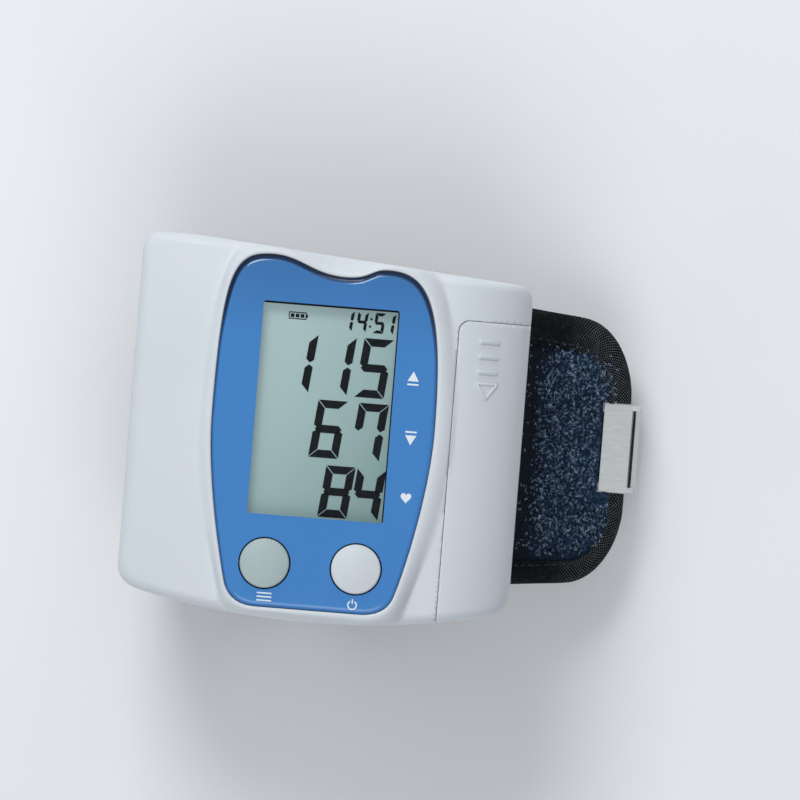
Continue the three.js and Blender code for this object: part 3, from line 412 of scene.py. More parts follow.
def rounding(p, q):
    """Radius of the rolled edge: full, or smaller where the panel comes close to it."""
    return min(edge_round, max(0.35, ((p - q).length - panel_fit - lip_round) * 0.6))


def rim_ring(inward, rise):
    """One ring of the rolled outer edge, so far in from the outline and up from its foot."""
    ring = []
    for p, q in facing:
        tight = rounding(p, q) / edge_round
        at = p - (p - q).normalized() * inward * tight
        ring.append(Vector((at.x, at.y, cover_z(at.x, at.y, (at - q).length) + (rise - edge_round) * tight)))
    return ring


def level_ring(points, grow, z):
    """A flat ring; grow moves it outwards from the outline."""
    return [Vector((*(p + (p - shell_centre).normalized() * grow).xy, z)) for p in points]


foot_ring = rim_ring(0, 0)
rings = []
for step in range(wall_steps):
    rings.append([Vector((p.x, p.y, split_z + (low.z - split_z) * step / wall_steps))
                  for p, low in zip(housing_ring, foot_ring)])
for step in range(edge_steps + 1):
    turn = math.pi / 2 * step / edge_steps
    rings.append(rim_ring(edge_round * (1 - math.cos(turn)), edge_round * math.sin(turn)))
for step in range(1, skin_steps + 1):
    share = step / skin_steps
    share += 0.1 * math.sin(2 * math.pi * share) * (share if step < skin_steps else 0)
    ring = []
    for p, q in facing:
        way = (p - q).normalized()
        at = (p - way * rounding(p, q)).lerp(q + way * (panel_fit + lip_round), share)
        ring.append(Vector((at.x, at.y, cover_z(at.x, at.y, (at - q).length))))
    rings.append(ring)
lip_top = [p.z for p in rings[-1]]
for turn in (30, 60, 90):
    room = panel_fit + lip_round * (1 - math.sin(math.radians(turn)))
    drop = lip_round * (1 - math.cos(math.radians(turn)))
    rings.append([Vector((*(q + (p - q).normalized() * room).xy, top - drop))
                  for (p, q), top in zip(facing, lip_top)])
rings.append([Vector((p.x, p.y, floor_z)) for p in rings[-1]])
rings.append(level_ring(panel_ring, -floor_inset, floor_z))
rings.append(level_ring(panel_ring, -floor_inset, floor_z - floor_thick))
rings.append([Vector((at.x, at.y, min(floor_z - floor_thick, skin_z(at.x, at.y) - cover_wall)))
              for at in (q.lerp(p, 0.3) for p, q in facing)])
rings.append([Vector((*(p + (shell_centre - p).normalized() * cover_wall * 1.6).xy,
                      skin_z(p.x, p.y) - edge_round * 1.6)) for p in housing_ring])
rings.append(level_ring(housing_ring, -cover_wall, split_z))
shell = finished("upper_cover", bridged(rings + rings[:1]))
bm = bmesh.new()
bm.from_mesh(shell.data)
bmesh.ops.remove_doubles(bm, verts=bm.verts, dist=1e-6)
bmesh.ops.recalc_face_normals(bm, faces=bm.faces)
bm.to_mesh(shell.data)
bm.free()
plastic, plastic_shader, plastic_place = material("satin_housing")
fine_grain = noise(plastic_place, 2600, 4, 0.6)
cloudy = noise(plastic_place, 28, 2).within()
feed(plastic_shader, Base_Color=cloudy.colours((206, 213, 219), (211, 217, 223)),
     Roughness=fine_grain.within(0.36, 0.46), Specular_IOR_Level=0.4)
bumped(plastic_shader, fine_grain, 0.012)

# Battery cover: the same skin and the same plastic, cut off along a fine seam, with three grip bars and an
# arrow moulded on it. It slides off towards the user.
seam_x, seam_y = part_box("battery_cover")[0].x / MM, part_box("battery_cover")[1].y / MM
seam_gap, seam_corner = 0.11, 2.2
block_far, block_low, block_high = 60, split_z - 3, split_z + 27
grip_at, grip_pitch, grip_half = Vector((32.6, 20.7, 0)), 3.1, Vector((2.1, 0.5, 0))
arrow_top, arrow_half, arrow_tall, arrow_line = grip_at.y - 3 * grip_pitch + 0.7, 2.1, 3.0, 0.5


def pushed_up(name, outlines, low, high):
    """Outlines pushed up from low to high, each as one closed body, all in one piece."""
    bm = bmesh.new()
    for points in outlines:
        face = bm.faces.new([bm.verts.new((p[0], p[1], low)) for p in points])
        risen = bmesh.ops.extrude_face_region(bm, geom=[face])["geom"]
        risen = [v for v in risen if isinstance(v, bmesh.types.BMVert)]
        bmesh.ops.translate(bm, vec=(0, 0, high - low), verts=risen)
    bmesh.ops.recalc_face_normals(bm, faces=bm.faces)
    return finished(name, bm)


def cut(piece, other, operation="DIFFERENCE"):
    """Cuts a piece with another, which is gone afterwards."""
    tool = piece.modifiers.new("cut", "BOOLEAN")
    tool.object, tool.operation, tool.solver = other, operation, "EXACT"
    bake(piece)
    bpy.data.objects.remove(other)
    return piece


def battery_block(grow):
    """The block that parts the battery cover from the upper cover, with its one rounded corner."""
    left, top = seam_x - grow, seam_y + grow
    turns = [math.pi / 2 * i / 10 for i in range(11)]
    points = [(left + seam_corner * (1 - math.cos(a)), top - seam_corner * (1 - math.sin(a))) for a in turns]
    points = [(left, -block_far), *points, (block_far, top), (block_far, -block_far)]
    return pushed_up("battery_block", [points], block_low, block_high)


def raised(name, points, rise=0.42, inset=0.22):
    """A low pad moulded on the lid's skin, with softly rounded edges."""
    points = [Vector((*p, 0)) for p in points]
    middle = sum(points, Vector()) / len(points)
    rings = []
    for drawn, up in ((0, -0.5), (0, rise * 0.55), (inset * 0.3, rise * 0.85), (inset, rise)):
        ring = []
        for p in points:
            at = p + (middle - p).normalized() * min(drawn, (middle - p).length * 0.6)
            ring.append(Vector((at.x, at.y, skin_z(at.x, at.y) + up)))
        rings.append(ring)
    return finished(name, bridged(rings, (0, -1)))


def grip_outline(middle):
    r, points = grip_half.y, []
    for side in (1, -1):
        points += [(middle.x + side * (grip_half.x - r) + r * math.sin(math.pi * k / 10) * side,
                    middle.y + r * math.cos(math.pi * k / 10) * side) for k in range(11)]
    return points


lid = added("battery_door", shell.data.copy())
cut(shell, battery_block(seam_gap))
cut(lid, battery_block(0), "INTERSECT")
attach(shell, "monitor")
settle(shell, "housing_plastic", plastic, "front_cover")
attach(lid, "battery_lid")
settle(lid, "housing_plastic", plastic, "battery_cover")
lid_marks = [raised("lid_grip", grip_outline(grip_at - Vector((0, grip_pitch * k, 0)))) for k in range(3)]
corners = [Vector((grip_at.x - arrow_half, arrow_top, 0)), Vector((grip_at.x + arrow_half, arrow_top, 0)),
           Vector((grip_at.x, arrow_top - arrow_tall, 0))]
for a, b in zip(corners, corners[1:] + corners[:1]):
    way = (b - a).normalized() * arrow_line / 2
    side = Vector((-way.y, way.x, 0))
    stroke = (a - way * 0.6 + side, b + way * 0.6 + side, b + way * 0.6 - side, a - way * 0.6 - side)
    lid_marks.append(raised("lid_arrow", [p.xy for p in stroke], 0.36, 0.12))
for piece in lid_marks:
    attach(piece, "battery_lid")
    settle(piece, "housing_plastic", plastic)

# Display panel: one glossy blue moulding with a bevelled rim, set into the cover's recess; painted shade
# darkens its rolled rim and its top. It is cut out for the display and the two keys, and the small white marks
# on it are printed.
scale, display_row = 0.203, 19
window_half = Vector((13.85, 21.65, 0))
window_corner = 0.55
key_places = {"memory": Vector((-9.5, -27.7, 0)), "power": Vector((9.1, -27.5, 0))}
key_radius, key_gap = 5.05, 0.28
panel_base, panel_face = panel_low.z / MM, panel_high.z / MM
cut_past = 3
rim_steps = ((0, 1.0), (0.03, 0.72), (0.08, 0.6), (0.3, 0.42), (0.52, 0.24), (0.66, 0.16), (0.82, 0.11),
             (0.95, 0.09), (1.1, 0.075), (1.3, 0.065), (1.6, 0.055), (2.2, 0.04), (3.2, 0.02), (5, 0))
rim_wide = 2.2


def at_pixel(u, v):
    """A place on the panel, from its distance to the middle of the display in the photograph."""
    return Vector((scale * u, scale * (display_row - v), 0))


def rounded_rect(middle, half, radius, steps=6):
    points = []
    for i, (sx, sy) in enumerate(((1, 1), (-1, 1), (-1, -1), (1, -1))):
        for k in range(steps + 1):
            angle = math.pi / 2 * (i + k / steps)
            points.append((middle.x + sx * (half.x - radius) + radius * math.cos(angle),
                           middle.y + sy * (half.y - radius) + radius * math.sin(angle)))
    return points


def circle(middle, radius, steps=96):
    turns = [2 * math.pi * i / steps for i in range(steps)]
    return [(middle.x + radius * math.cos(turn), middle.y + radius * math.sin(turn)) for turn in turns]


def soften(piece, width_mm, angle):
    """Rounds a piece's edges finely and shades it smooth between them."""
    edge = piece.modifiers.new("edge", "BEVEL")
    edge.width, edge.segments, edge.limit_method = width_mm * MM, 2, "ANGLE"
    edge.angle_limit = math.radians(angle)
    edge.harden_normals = True
    bake(piece)
    piece.data.shade_smooth()
    crisp = piece.modifiers.new("smooth", "WEIGHTED_NORMAL")
    crisp.keep_sharp = True
    return bake(piece)


panel_rings = [level_ring(panel_ring, 0, panel_base)]
top_share = [smooth_step(14, 30, p.y) for p in panel_ring]
for inward, below in rim_steps:
    wider = 0.7 * inward * max(0, 1 - inward / rim_wide)
    near, far = level_ring(panel_ring, -inward, 0), level_ring(panel_ring, -inward - wider, 0)
    level = [a.lerp(b, share) for a, b, share in zip(near, far, top_share)]
    panel_rings.append([Vector((p.x, p.y, panel_face - below * (0.6 + 0.7 * share)))
                        for p, share in zip(level, top_share)])
bezel = finished("display_panel", bridged(panel_rings, (0, -1)))
display_middle = at_pixel(0, 0)
openings = [rounded_rect(display_middle, window_half, window_corner)]
openings += [circle(place, key_radius + key_gap) for place in key_places.values()]
for opening in openings:
    cut(bezel, pushed_up("opening", [opening], panel_base - cut_past, panel_face + cut_past))
soften(bezel, 0.18, 50)
gloss_blue, blue_shader, blue_place = material("gloss_blue")
up = blue_place.axis("Y")
facing_up = blue_place.node("ShaderNodeNewGeometry").out("Normal").axis("Z")
# Painted shade: the blue is painted darker towards the panel's top and on its rolled rim, where the surface
# turns away from straight up, more so at the top.
painted_rim_shade = facing_up.ramp(0.8, 0.98, 1, 0) * up.ramp(0.0, 0.024, 0.25, 1)
shade = up.ramp(0.018, 0.034) * 0.3 + noise(blue_place, 45, 2) * 0.08 + painted_rim_shade * 0.8
feed(blue_shader, Base_Color=shade.colours((54, 128, 198), (16, 44, 80)), Specular_IOR_Level=0.35,
     Roughness=noise(blue_place, 900).within(0.14, 0.2), Coat_Weight=0.5, Coat_Roughness=0.05)
bumped(blue_shader, noise(blue_place, 240, 2), 0.01)
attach(bezel, "monitor")
settle(bezel, "panel_blue", gloss_blue, "display_bezel")
ink_thick = 0.03
power_at, list_at, heart_at = at_pixel(44, 190.5), at_pixel(-44.5, 189), at_pixel(89, 79)
arrow_marks = ((at_pixel(87, -42), 1), (at_pixel(89, 21), -1))
power_inner, power_outer, power_from, power_to = 0.72, 1.0, 120, 420
line_half, list_half, list_pitch = 0.14, 1.5, 0.75
mark_half, heart_size, heart_wide = 1.15, 0.075, 0.9


def mark(name, outlines, z):
    """Thin flat marks, such as print, display figures and the painted shadow strip: outlines joined into one
    thin piece.
    """
    piece = pushed_up(name, outlines, z, z + ink_thick)
    piece.data.shade_flat()
    return piece


def arc_band(middle, inner, outer, start, end, steps=22):
    """Part of a flat ring, between two angles in degrees, as quads."""
    quads = []
    for i in range(steps):
        a, b = (math.radians(start + (end - start) * k / steps) for k in (i, i + 1))
        quads.append([(middle.x + r * math.cos(t), middle.y + r * math.sin(t))
                      for r, t in ((inner, a), (outer, a), (outer, b), (inner, b))])
    return quads


def bar(at, x0, y0, x1, y1):
    """A rectangle, from the distances of its sides to a place."""
    return [(at.x + x0, at.y + y0), (at.x + x1, at.y + y0), (at.x + x1, at.y + y1), (at.x + x0, at.y + y1)]


def heart(at, steps=40):
    points = []
    for t in (2 * math.pi * i / steps for i in range(steps)):
        high = 13 * math.cos(t) - 5 * math.cos(2 * t) - 2 * math.cos(3 * t) - math.cos(4 * t)
        points.append((at.x + heart_size * 16 * math.sin(t) ** 3 * heart_wide, at.y + heart_size * high))
    return points


printed = arc_band(power_at, power_inner, power_outer, power_from, power_to)
printed.append(bar(power_at, -line_half, 0.25, line_half, 1.25))
printed += [bar(list_at, -list_half, k * list_pitch - line_half, list_half, k * list_pitch + line_half)
            for k in (-1, 0, 1)]
for at, way in arrow_marks:
    printed.append([(at.x - mark_half, at.y - way * 0.9), (at.x + mark_half, at.y - way * 0.9),
                    (at.x, at.y + way * 1.1)])
    printed.append(bar(at, -mark_half, -way * 1.75, mark_half, -way * 1.4))
printed.append(heart(heart_at))
marks = mark("panel_marks", printed, panel_face - 0.01)
ink, ink_shader, ink_place = material("white_ink")
feed(ink_shader, Base_Color=noise(ink_place, 3000).within().colours((214, 226, 238), (232, 238, 244)),
     Roughness=0.4)
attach(marks, "monitor")
settle(marks, "inner_white", ink)

# Display: a clear window set well below the panel, and under it the liquid crystal glass, grey-green, with
# dark slanted seven-part figures. A dark strip along the window's top and right edges is painted shadow,
# and the glass has a painted sheen and a faint painted glow.
glass_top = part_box("lcd_panel")[1].z / MM
figure_thick, clock_thick, slant = 1.62, 0.62, math.tan(math.radians(6))
lit_by_figure = {"1": "bc", "4": "fgbc", "5": "afgcd", "6": "afgedc", "7": "abcf", "8": "abcdefg"}
shadow_strip_wide, shadow_strip_past = 0.38, 0.3
colon_half, colon_rise, colon_lean = 0.22, 0.75, 0.1


def segments(figure, left, top, right, bottom, thick):
    """The outlines of one figure's lit parts; left, top, right and bottom are in the photograph's pixels."""
    low, high = at_pixel(left, bottom), at_pixel(right, top)
    middle, gap, shapes = (low.y + high.y) / 2, thick * 0.06, []
    for part in lit_by_figure[figure]:
        if part in "ad":
            edge, inner = (high.y, high.y - thick) if part == "a" else (low.y, low.y + thick)
            shape = [(low.x + gap, edge), (high.x - gap, edge), (high.x - thick - gap, inner),
                     (low.x + thick + gap, inner)]
        elif part == "g":
            half, x0, x1 = thick / 2, low.x + gap * 3, high.x - gap * 3
            shape = [(x0, middle), (x0 + half, middle - half), (x1 - half, middle - half), (x1, middle),
                     (x1 - half, middle + half), (x0 + half, middle + half)]
        else:
            edge, inner = (high.x, high.x - thick) if part in "bc" else (low.x, low.x + thick)
            tip, way = (high.y, -1) if part in "bf" else (low.y, 1)
            shape = [(edge, tip + way * gap * 1.5), (inner, tip + way * (thick + gap * 1.5)),
                     (inner, middle - way * (thick / 2 + gap)), ((edge + inner) / 2, middle - way * gap * 2),
                     (edge, middle - way * (thick * 0.4 + gap))]
        shapes.append([(x + slant * (y - middle), y) for x, y in shape])
    return shapes


rows = [("115", ((-44, -14), (-5.5, 24.5), (32, 62)), -77, -17.5, figure_thick),
        ("67", ((-9, 21), (32, 62)), -12, 46, figure_thick),
        ("84", ((4.5, 34), (36, 65)), 53, 105, figure_thick),
        ("1451", ((12.5, 22.5), (26, 36.5), (43.5, 54), (54, 64)), -103, -82.5, clock_thick)]
lit = []
for figures, columns, top, bottom, thick in rows:
    for figure, (left, right) in zip(figures, columns):
        lit += segments(figure, left, top, right, bottom, thick)
colon_at, cell_at = at_pixel(40, -92.5), at_pixel(-33, -94)
lit += [bar(colon_at, colon_lean * k - colon_half, colon_rise * k - colon_half,
            colon_lean * k + colon_half, colon_rise * k + colon_half) for k in (-1, 1)]
cell_outline = ((-1.7, -0.75, 1.5, -0.55), (-1.7, 0.55, 1.5, 0.75), (-1.9, -0.75, -1.7, 0.75),
                (1.5, -0.75, 1.7, 0.75), (1.7, -0.3, 2.0, 0.3))
lit += [bar(cell_at, *sides) for sides in cell_outline]
lit += [bar(cell_at, k - 1.5, -0.38, k - 0.75, 0.38) for k in range(3)]
display_figures = mark("display_figures", lit, glass_top + 0.05)
# Painted shadow: a dark strip on the glass along the window's top and right edges stands in for the recess
# wall's shade.
half_x, half_y = window_half.xy
far_x, far_y, near_y = half_x + shadow_strip_past, half_y + shadow_strip_past, half_y - shadow_strip_wide
painted_shadow_strip = mark("window_painted_shadow", [bar(display_middle, -far_x, near_y, far_x, far_y),
                                bar(display_middle, half_x - shadow_strip_wide * 0.7, -far_y, far_x, near_y)],
              glass_top + 0.1)
figure_and_shadow_ink, segment_shader, segment_place = material("lcd_figures_and_painted_shadow")
feed(segment_shader, Base_Color=noise(segment_place, 500).within().colours((12, 16, 20), (20, 24, 28)),
     Roughness=0.6, Specular_IOR_Level=0.05)
for piece in (display_figures, painted_shadow_strip):
    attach(piece, "monitor")
    settle(piece, "display_glass", figure_and_shadow_ink)
crystal, crystal_shader, crystal_place = material("liquid_crystal")
# Painted sheen: the glass is painted lighter towards the top left and darker towards the bottom right, as
# light falls across it.
painted_sheen_slope = (crystal_place.axis("X") * -0.55 + crystal_place.axis("Y") * 0.35) / 0.03
grain = noise(crystal_place, 9000, 2)
tint_with_painted_sheen = (painted_sheen_slope.ramp(-0.5, 0.75) * 0.85 + grain * 0.15).colours((92, 118, 115), (166, 188, 190))
# Painted glow: the glass emits its own tint faintly, though it has no backlight, to lift the shade of the deep
# window recess.
feed(crystal_shader, Base_Color=tint_with_painted_sheen, Emission_Color=tint_with_painted_sheen, Emission_Strength=0.5,
     Roughness=grain.within(0.34, 0.42), Specular_IOR_Level=0.3)
bumped(crystal_shader, grain, 0.004)
clear, clear_shader, clear_place = material("clear_window")
feed(clear_shader, Base_Color=(0.1, 0.12, 0.12, 1), Alpha=0.03,
     Roughness=noise(clear_place, 600).within(0.05, 0.09))


def dress(look, node):
    """Gives a CAD node whose shape is right its finished material."""
    mesh = frame["nodes"][node].data
    mesh.materials.clear()
    mesh.materials.append(look)


dress(crystal, "lcd_panel")
dress(clear, "display_window")

# Keys: two satin caps, a little domed, each in a fine dark gap. Grey-green calls up the memory, pale grey is
# power. Each is moulded in one piece and pressed onto its plunger.
cap_dome, cap_edge = 0.55, 0.5
cap_steps, edge_turns, cap_sides = 12, 6, 72


def key_cap(name, node, body, slot, low_colour, high_colour):
    """A cap, spun from its profile of distance from the axis and height."""
    place = key_places[name]
    foot, top = (corner.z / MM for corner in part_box(node))
    rim = top - cap_dome
    profile = [(0, foot), (key_radius, foot), (key_radius, rim - cap_edge)]
    for a in (math.pi / 2 * k / edge_turns for k in range(1, edge_turns + 1)):
        profile.append((key_radius - cap_edge * (1 - math.cos(a)), rim - cap_edge * (1 - math.sin(a))))
    for left in (1 - k / cap_steps for k in range(1, cap_steps + 1)):
        profile.append(((key_radius - cap_edge) * left, top - cap_dome * left ** 2))
    bm = bmesh.new()
    verts = [bm.verts.new((place.x + r, place.y, z)) for r, z in profile]
    edges = [bm.edges.new(pair) for pair in zip(verts, verts[1:])]
    bmesh.ops.spin(bm, geom=verts + edges, cent=(place.x, place.y, 0), axis=(0, 0, 1), angle=2 * math.pi,
                   steps=cap_sides, use_merge=True, use_duplicate=False)
    bmesh.ops.remove_doubles(bm, verts=bm.verts, dist=1e-4)
    bmesh.ops.recalc_face_normals(bm, faces=bm.faces)
    cap = soften(finished(name + "_cap", bm), 0.05, 60)
    look, shader, where = material(name + "_cap_satin")
    grain = noise(where, 3200, 3)
    feed(shader, Base_Color=noise(where, 120).within().colours(low_colour, high_colour),
         Roughness=grain.within(0.4, 0.5))
    bumped(shader, grain, 0.012)
    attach(cap, body)
    settle(cap, slot, look, node)


key_cap("memory", "memory_button", "memory_key", "memory_cap", (160, 176, 178), (168, 184, 185))
key_cap("power", "power_button", "power_key", "power_cap", (200, 207, 214), (206, 212, 218))

# Cuff: a padded band of navy loop cloth, with a smooth black lining and its edge bound in black knitted tape
# with a dotted weave. It runs from the D-shaped flap at the right over the hollow of the housing, down the
# left side and round to the soft end, over a curled inner sheet and the air bladder.
half_thick = 2.5
crown_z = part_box("cuff_cover")[1].z / MM - half_thick
band_half = 28.7
under_radius, side_radius, flare_radius = 42, 25, 60
saddle_turn, side_turn, base_turn, soft_turn, tongue_turn = 35, 110, 48, 21, 24
flap_turn, flare_turn, flap_run = 56, 20, 16.8
table_gap = 0.04


def along_arc(place, angle, radius, bend):
    a, b = angle, angle + bend
    return place + radius * Vector((math.sin(b) - math.sin(a), math.cos(b) - math.cos(a)))


class Band:
    """The band's middle line, walked from over the hollow: arcs, then a straight that never ends."""

    def __init__(self, side, *arcs):
        self.side, self.arcs = side, []
        place, angle, run = Vector((0, crown_z)), 0.0, 0.0
        for radius, turn in arcs:
            self.arcs.append((run, place, angle, radius))
            bend = math.radians(turn) * (1 if radius > 0 else -1)
            place = along_arc(place, angle, radius, bend)
            angle += bend
            run += abs(radius) * math.radians(turn)
        self.arcs.append((run, place, angle, None))
        self.length = run

    def at(self, run):
        """Middle of the band at a length from the crown, and the way out of it."""
        start, place, angle, radius = [arc for arc in self.arcs if arc[0] <= max(run, 0)][-1]
        past = max(run, 0) - start
        if radius is None:
            middle, turned = place + past * Vector((math.cos(angle), -math.sin(angle))), angle
        else:
            middle, turned = along_arc(place, angle, radius, past / radius), angle + past / radius
        out = Vector((self.side * math.sin(turned), 0, math.cos(turned)))
        return Vector((self.side * middle.x, 0, middle.y)), out


def arc_run(radius, turn):
    return math.radians(turn) * radius


right_band = Band(1, (under_radius, flap_turn), (-flare_radius, flare_turn))
left_band = Band(-1, (under_radius, saddle_turn), (side_radius, side_turn),
                 (under_radius, base_turn + soft_turn + tongue_turn))
flap_end = right_band.length + flap_run
side_end = arc_run(under_radius, saddle_turn) + arc_run(side_radius, side_turn)
joint_run = side_end + arc_run(under_radius, base_turn)
soft_end = joint_run + arc_run(under_radius, soft_turn)
flap_corner, flap_tip, flap_taper = 14.2, 9.8, 1.0
notch_from, notch_past, notch_room = 57.4, 80, 0.2
ring_up = 1.1
end_room = 1.9
tape_thick, tape_pitch, tape_wide, tape_wider = 0.5, 1.1, 5.0, 2.6


def band_at(run):
    """Middle of the band and the way out of it; run is counted to the left from the crown."""
    return right_band.at(-run) if run < 0 else left_band.at(run)


def on_band(run, y, level):
    """A point of the band; level is counted outwards from its middle line."""
    middle, out = band_at(run)
    return Vector((middle.x + out.x * level, y, max(table_gap, middle.z + out.z * level)))


def flap_half(run):
    """Half the band's width, less at the flap's rounded end."""
    left = flap_end + run
    shoulder = band_half - flap_taper
    bend = max(0, 1 - left / flap_corner)
    wide = flap_tip + (shoulder - flap_tip) * math.sqrt(max(0, 1 - bend * bend))
    return wide + min(1, max(0, (left - flap_corner) / flap_corner)) * flap_taper


def spread(start, end, pitch, ease_start=False, ease_end=False):
    """Places from start to end, closer together towards an eased end."""
    count = max(2, round(abs(end - start) / pitch))
    places = []
    for i in range(count + 1):
        t = i / count
        if ease_start:
            t = t * t * (3 - 2 * t) * 0.5 + t * t * 0.5
        if ease_end:
            t = 1 - (1 - t) ** 1.8
        places.append(start + (end - start) * t)
    return places


def padded_band(name, runs, half_at, outer, inner, inset, across=26, edge=0.9, wrinkle=0.0, uneven=0.16):
    """A layer of the band between two levels: crowned, with a rounded edge, capped at both ends."""
    middle = (outer + inner) / 2
    rings = []
    for run in runs:
        half = max(1.5, half_at(run) - inset)
        ring = []
        for face, level in ((1, outer), (-1, inner)):
            for i in range(1, across):
                share = math.sin(math.pi / 2 * (2 * i / across - 1)) * face
                soft = noise_at(Vector((run * 0.13, share * half * 0.13, face * 7))) * uneven
                if face < 0:
                    soft -= wrinkle * math.cos(run * 0.85 + 1.3 * math.sin(share * 2)) * (1 - share * share)
                rise = (level - middle) * (1 - abs(share) ** 8 * edge) + soft * (1 - share ** 4)
                ring.append(on_band(run, share * half, middle + rise))
            ring.append(on_band(run, half * face, middle))
        rings.append(ring)
    return finished(name, bridged(rings, (0, -1)))


def notched(piece):
    """Cuts the flap's tip out for the steel ring."""
    low, high = (corner.y / MM + ring_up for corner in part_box("cuff_ring"))
    near, far = low - notch_room, high + notch_room
    corners = [(notch_from, near), (notch_past, near), (notch_past, far), (notch_from, far)]
    return cut(piece, pushed_up("ring_notch", [corners], 0, 40))


def around_end(half_at, tip_run, pitch):
    """Outline of a band's end as run and y: one long edge, round the tip and back along the other."""
    side = [Vector((run, half_at(run), 0)) for run in spread(joint_run, tip_run, pitch, ease_end=True)]
    tip_half = side[-1].y
    count = max(2, round(2 * tip_half / pitch))
    tip = [Vector((tip_run, tip_half * (1 - 2 * i / count), 0)) for i in range(1, count)]
    return side + tip + [Vector((p.x, -p.y, 0)) for p in reversed(side)]


def evened(points, pitch):
    """The same line in equal steps, a little smoother."""
    lengths = [0.0]
    for a, b in zip(points, points[1:]):
        lengths.append(lengths[-1] + (b - a).length)
    count, even, k = round(lengths[-1] / pitch), [], 0
    for i in range(count + 1):
        want = lengths[-1] * i / count
        while k < len(points) - 2 and lengths[k + 1] < want:
            k += 1
        share = (want - lengths[k]) / max(1e-9, lengths[k + 1] - lengths[k])
        even.append(points[k].lerp(points[k + 1], share))
    for _ in range(3):
        even = even[:1] + [(a + 2 * b + c) / 4 for a, b, c in zip(even, even[1:], even[2:])] + even[-1:]
    return even


def with_way_in(line, side):
    """Each point of a line with the way across it; side is 1 for its left and -1 for its right."""
    for i, place in enumerate(line):
        way = (line[min(i + 1, len(line) - 1)] - line[max(i - 1, 0)]).normalized()
        yield place, Vector((-way.y, way.x, 0)) * side


def tape_section(wide):
    """The tape's section, each point's depth in from the edge and its level: top, edge, then underneath."""
    top, edge = half_thick, 0.9
    return ((wide, top - 0.3), (wide - 0.15, top + 0.12), (wide * 0.7, top + 0.2), (wide * 0.35, top + 0.02),
            (edge, top * 0.8), (0.25, top * 0.45), (0, 0), (0.25, -top * 0.45), (edge, -top * 0.8),
            (wide * 0.4, -top + 0.12), (wide * 0.75, -top + 0.08), (wide * 0.78, -top + 0.6))


def bind_edge(name, points, side, widths):
    """Binding tape folded over an edge, with the lengths along it and across it as its UV map."""
    bm = bmesh.new()
    layer = bm.loops.layers.uv.new("tape")
    uvs, rows, run, before = {}, [], 0.0, None
    for place, inward in with_way_in(evened(points, tape_pitch), side):
        run += (place - before).length if before is not None else 0
        row, across = [], 0.0
        for depth, level in tape_section(widths(place)):
            at = place + inward * depth
            puff = noise_at(Vector((run * 0.35, level * 0.6, 3))) * 0.09
            vert = bm.verts.new(on_band(at.x, at.y, level + puff * (1 if level > 0 else -1)))
            across += (vert.co - row[-1].co).length if row else 0
            uvs[vert] = run, across
            row.append(vert)
        rows.append([bm.edges.new(pair) for pair in zip(row, row[1:])])
        before = place
    for low, high in zip(rows, rows[1:]):
        bmesh.ops.bridge_loops(bm, edges=low + high)
    for face in bm.faces:
        for loop in face.loops:
            loop[layer].uv = uvs[loop.vert]
    bmesh.ops.recalc_face_normals(bm, faces=bm.faces)
    piece = finished(name, bm)
    tape = piece.modifiers.new("tape", "SOLIDIFY")
    tape.thickness, tape.offset = tape_thick * MM, -1
    bake(piece)
    for vert in piece.data.vertices:
        vert.co.z = max(vert.co.z, 0.00002)
    fine = piece.modifiers.new("fine", "SUBSURF")
    fine.levels = fine.render_levels = 1
    return bake(piece)


def flap_binding(place):
    """The tape is wider at the flap's top left corner, as in the photograph, and narrow along the bottom."""
    return tape_wide + tape_wider * smooth_step(0, 12, place.y)


outer_face, inner_face, lining_face = half_thick - 0.25, -half_thick + 0.7, -half_thick + 0.75
corner_run = -flap_end + flap_corner + 4
base_runs = spread(-flap_end + end_room, corner_run, 0.7, ease_start=True)[:-1]
base_runs += spread(corner_run, joint_run, 1.7)
flap_edge = around_end(flap_half, -flap_end + 0.2, 1.0)
cuff_cloth = notched(padded_band("cuff_loop_cloth", base_runs, flap_half, outer_face, inner_face, 0.6,
                                 wrinkle=0.1))
base_lining = padded_band("cuff_inner_lining", spread(-flap_end + 8, joint_run - 0.4, 1.7), flap_half,
                          lining_face, -half_thick, 4.2, across=20, edge=0.7, wrinkle=0.22)
binding = notched(bind_edge("cuff_binding", flap_edge, 1, flap_binding))
pile, pile_shader, pile_place = material("loop_pile")
tufts = noise(pile_place, 1700, 4, 0.65)
patches = noise(pile_place, 150, 3)
along, aside = pile_place.axis("X"), pile_place.axis("Y").absolute()
# Painted shadow: the pile's base colour is darkened under and just beside the housing, where the housing
# shades the flap; it is also darker towards the band's long edges.
shaded = along.ramp(-0.02, 0.0) * (1 - along.ramp(0.0425, 0.048)) * 0.9
unshaded_open_pile = (1 - shaded) * aside.ramp(0.019, 0.024, 1, 0.25)
pile_light = (tufts.ramp(0.42, 0.62) * 0.75 + patches.ramp(0.35, 0.7) * 0.25) * unshaded_open_pile
feed(pile_shader, Base_Color=pile_light.colours((4, 7, 10), (52, 84, 122)), Roughness=0.95,
     Specular_IOR_Level=0.2)
bumped(pile_shader, tufts, 0.5)
tape_look, tape_shader, tape_place = material("knitted_tape")
tape_uv = tape_place.node("ShaderNodeTexCoord").out("UV")
knit_pitch = 0.85
knots = tape_uv.axis("X").wave(knit_pitch) * tape_uv.axis("Y").wave(knit_pitch)
lint = noise(tape_place, 700, 3)
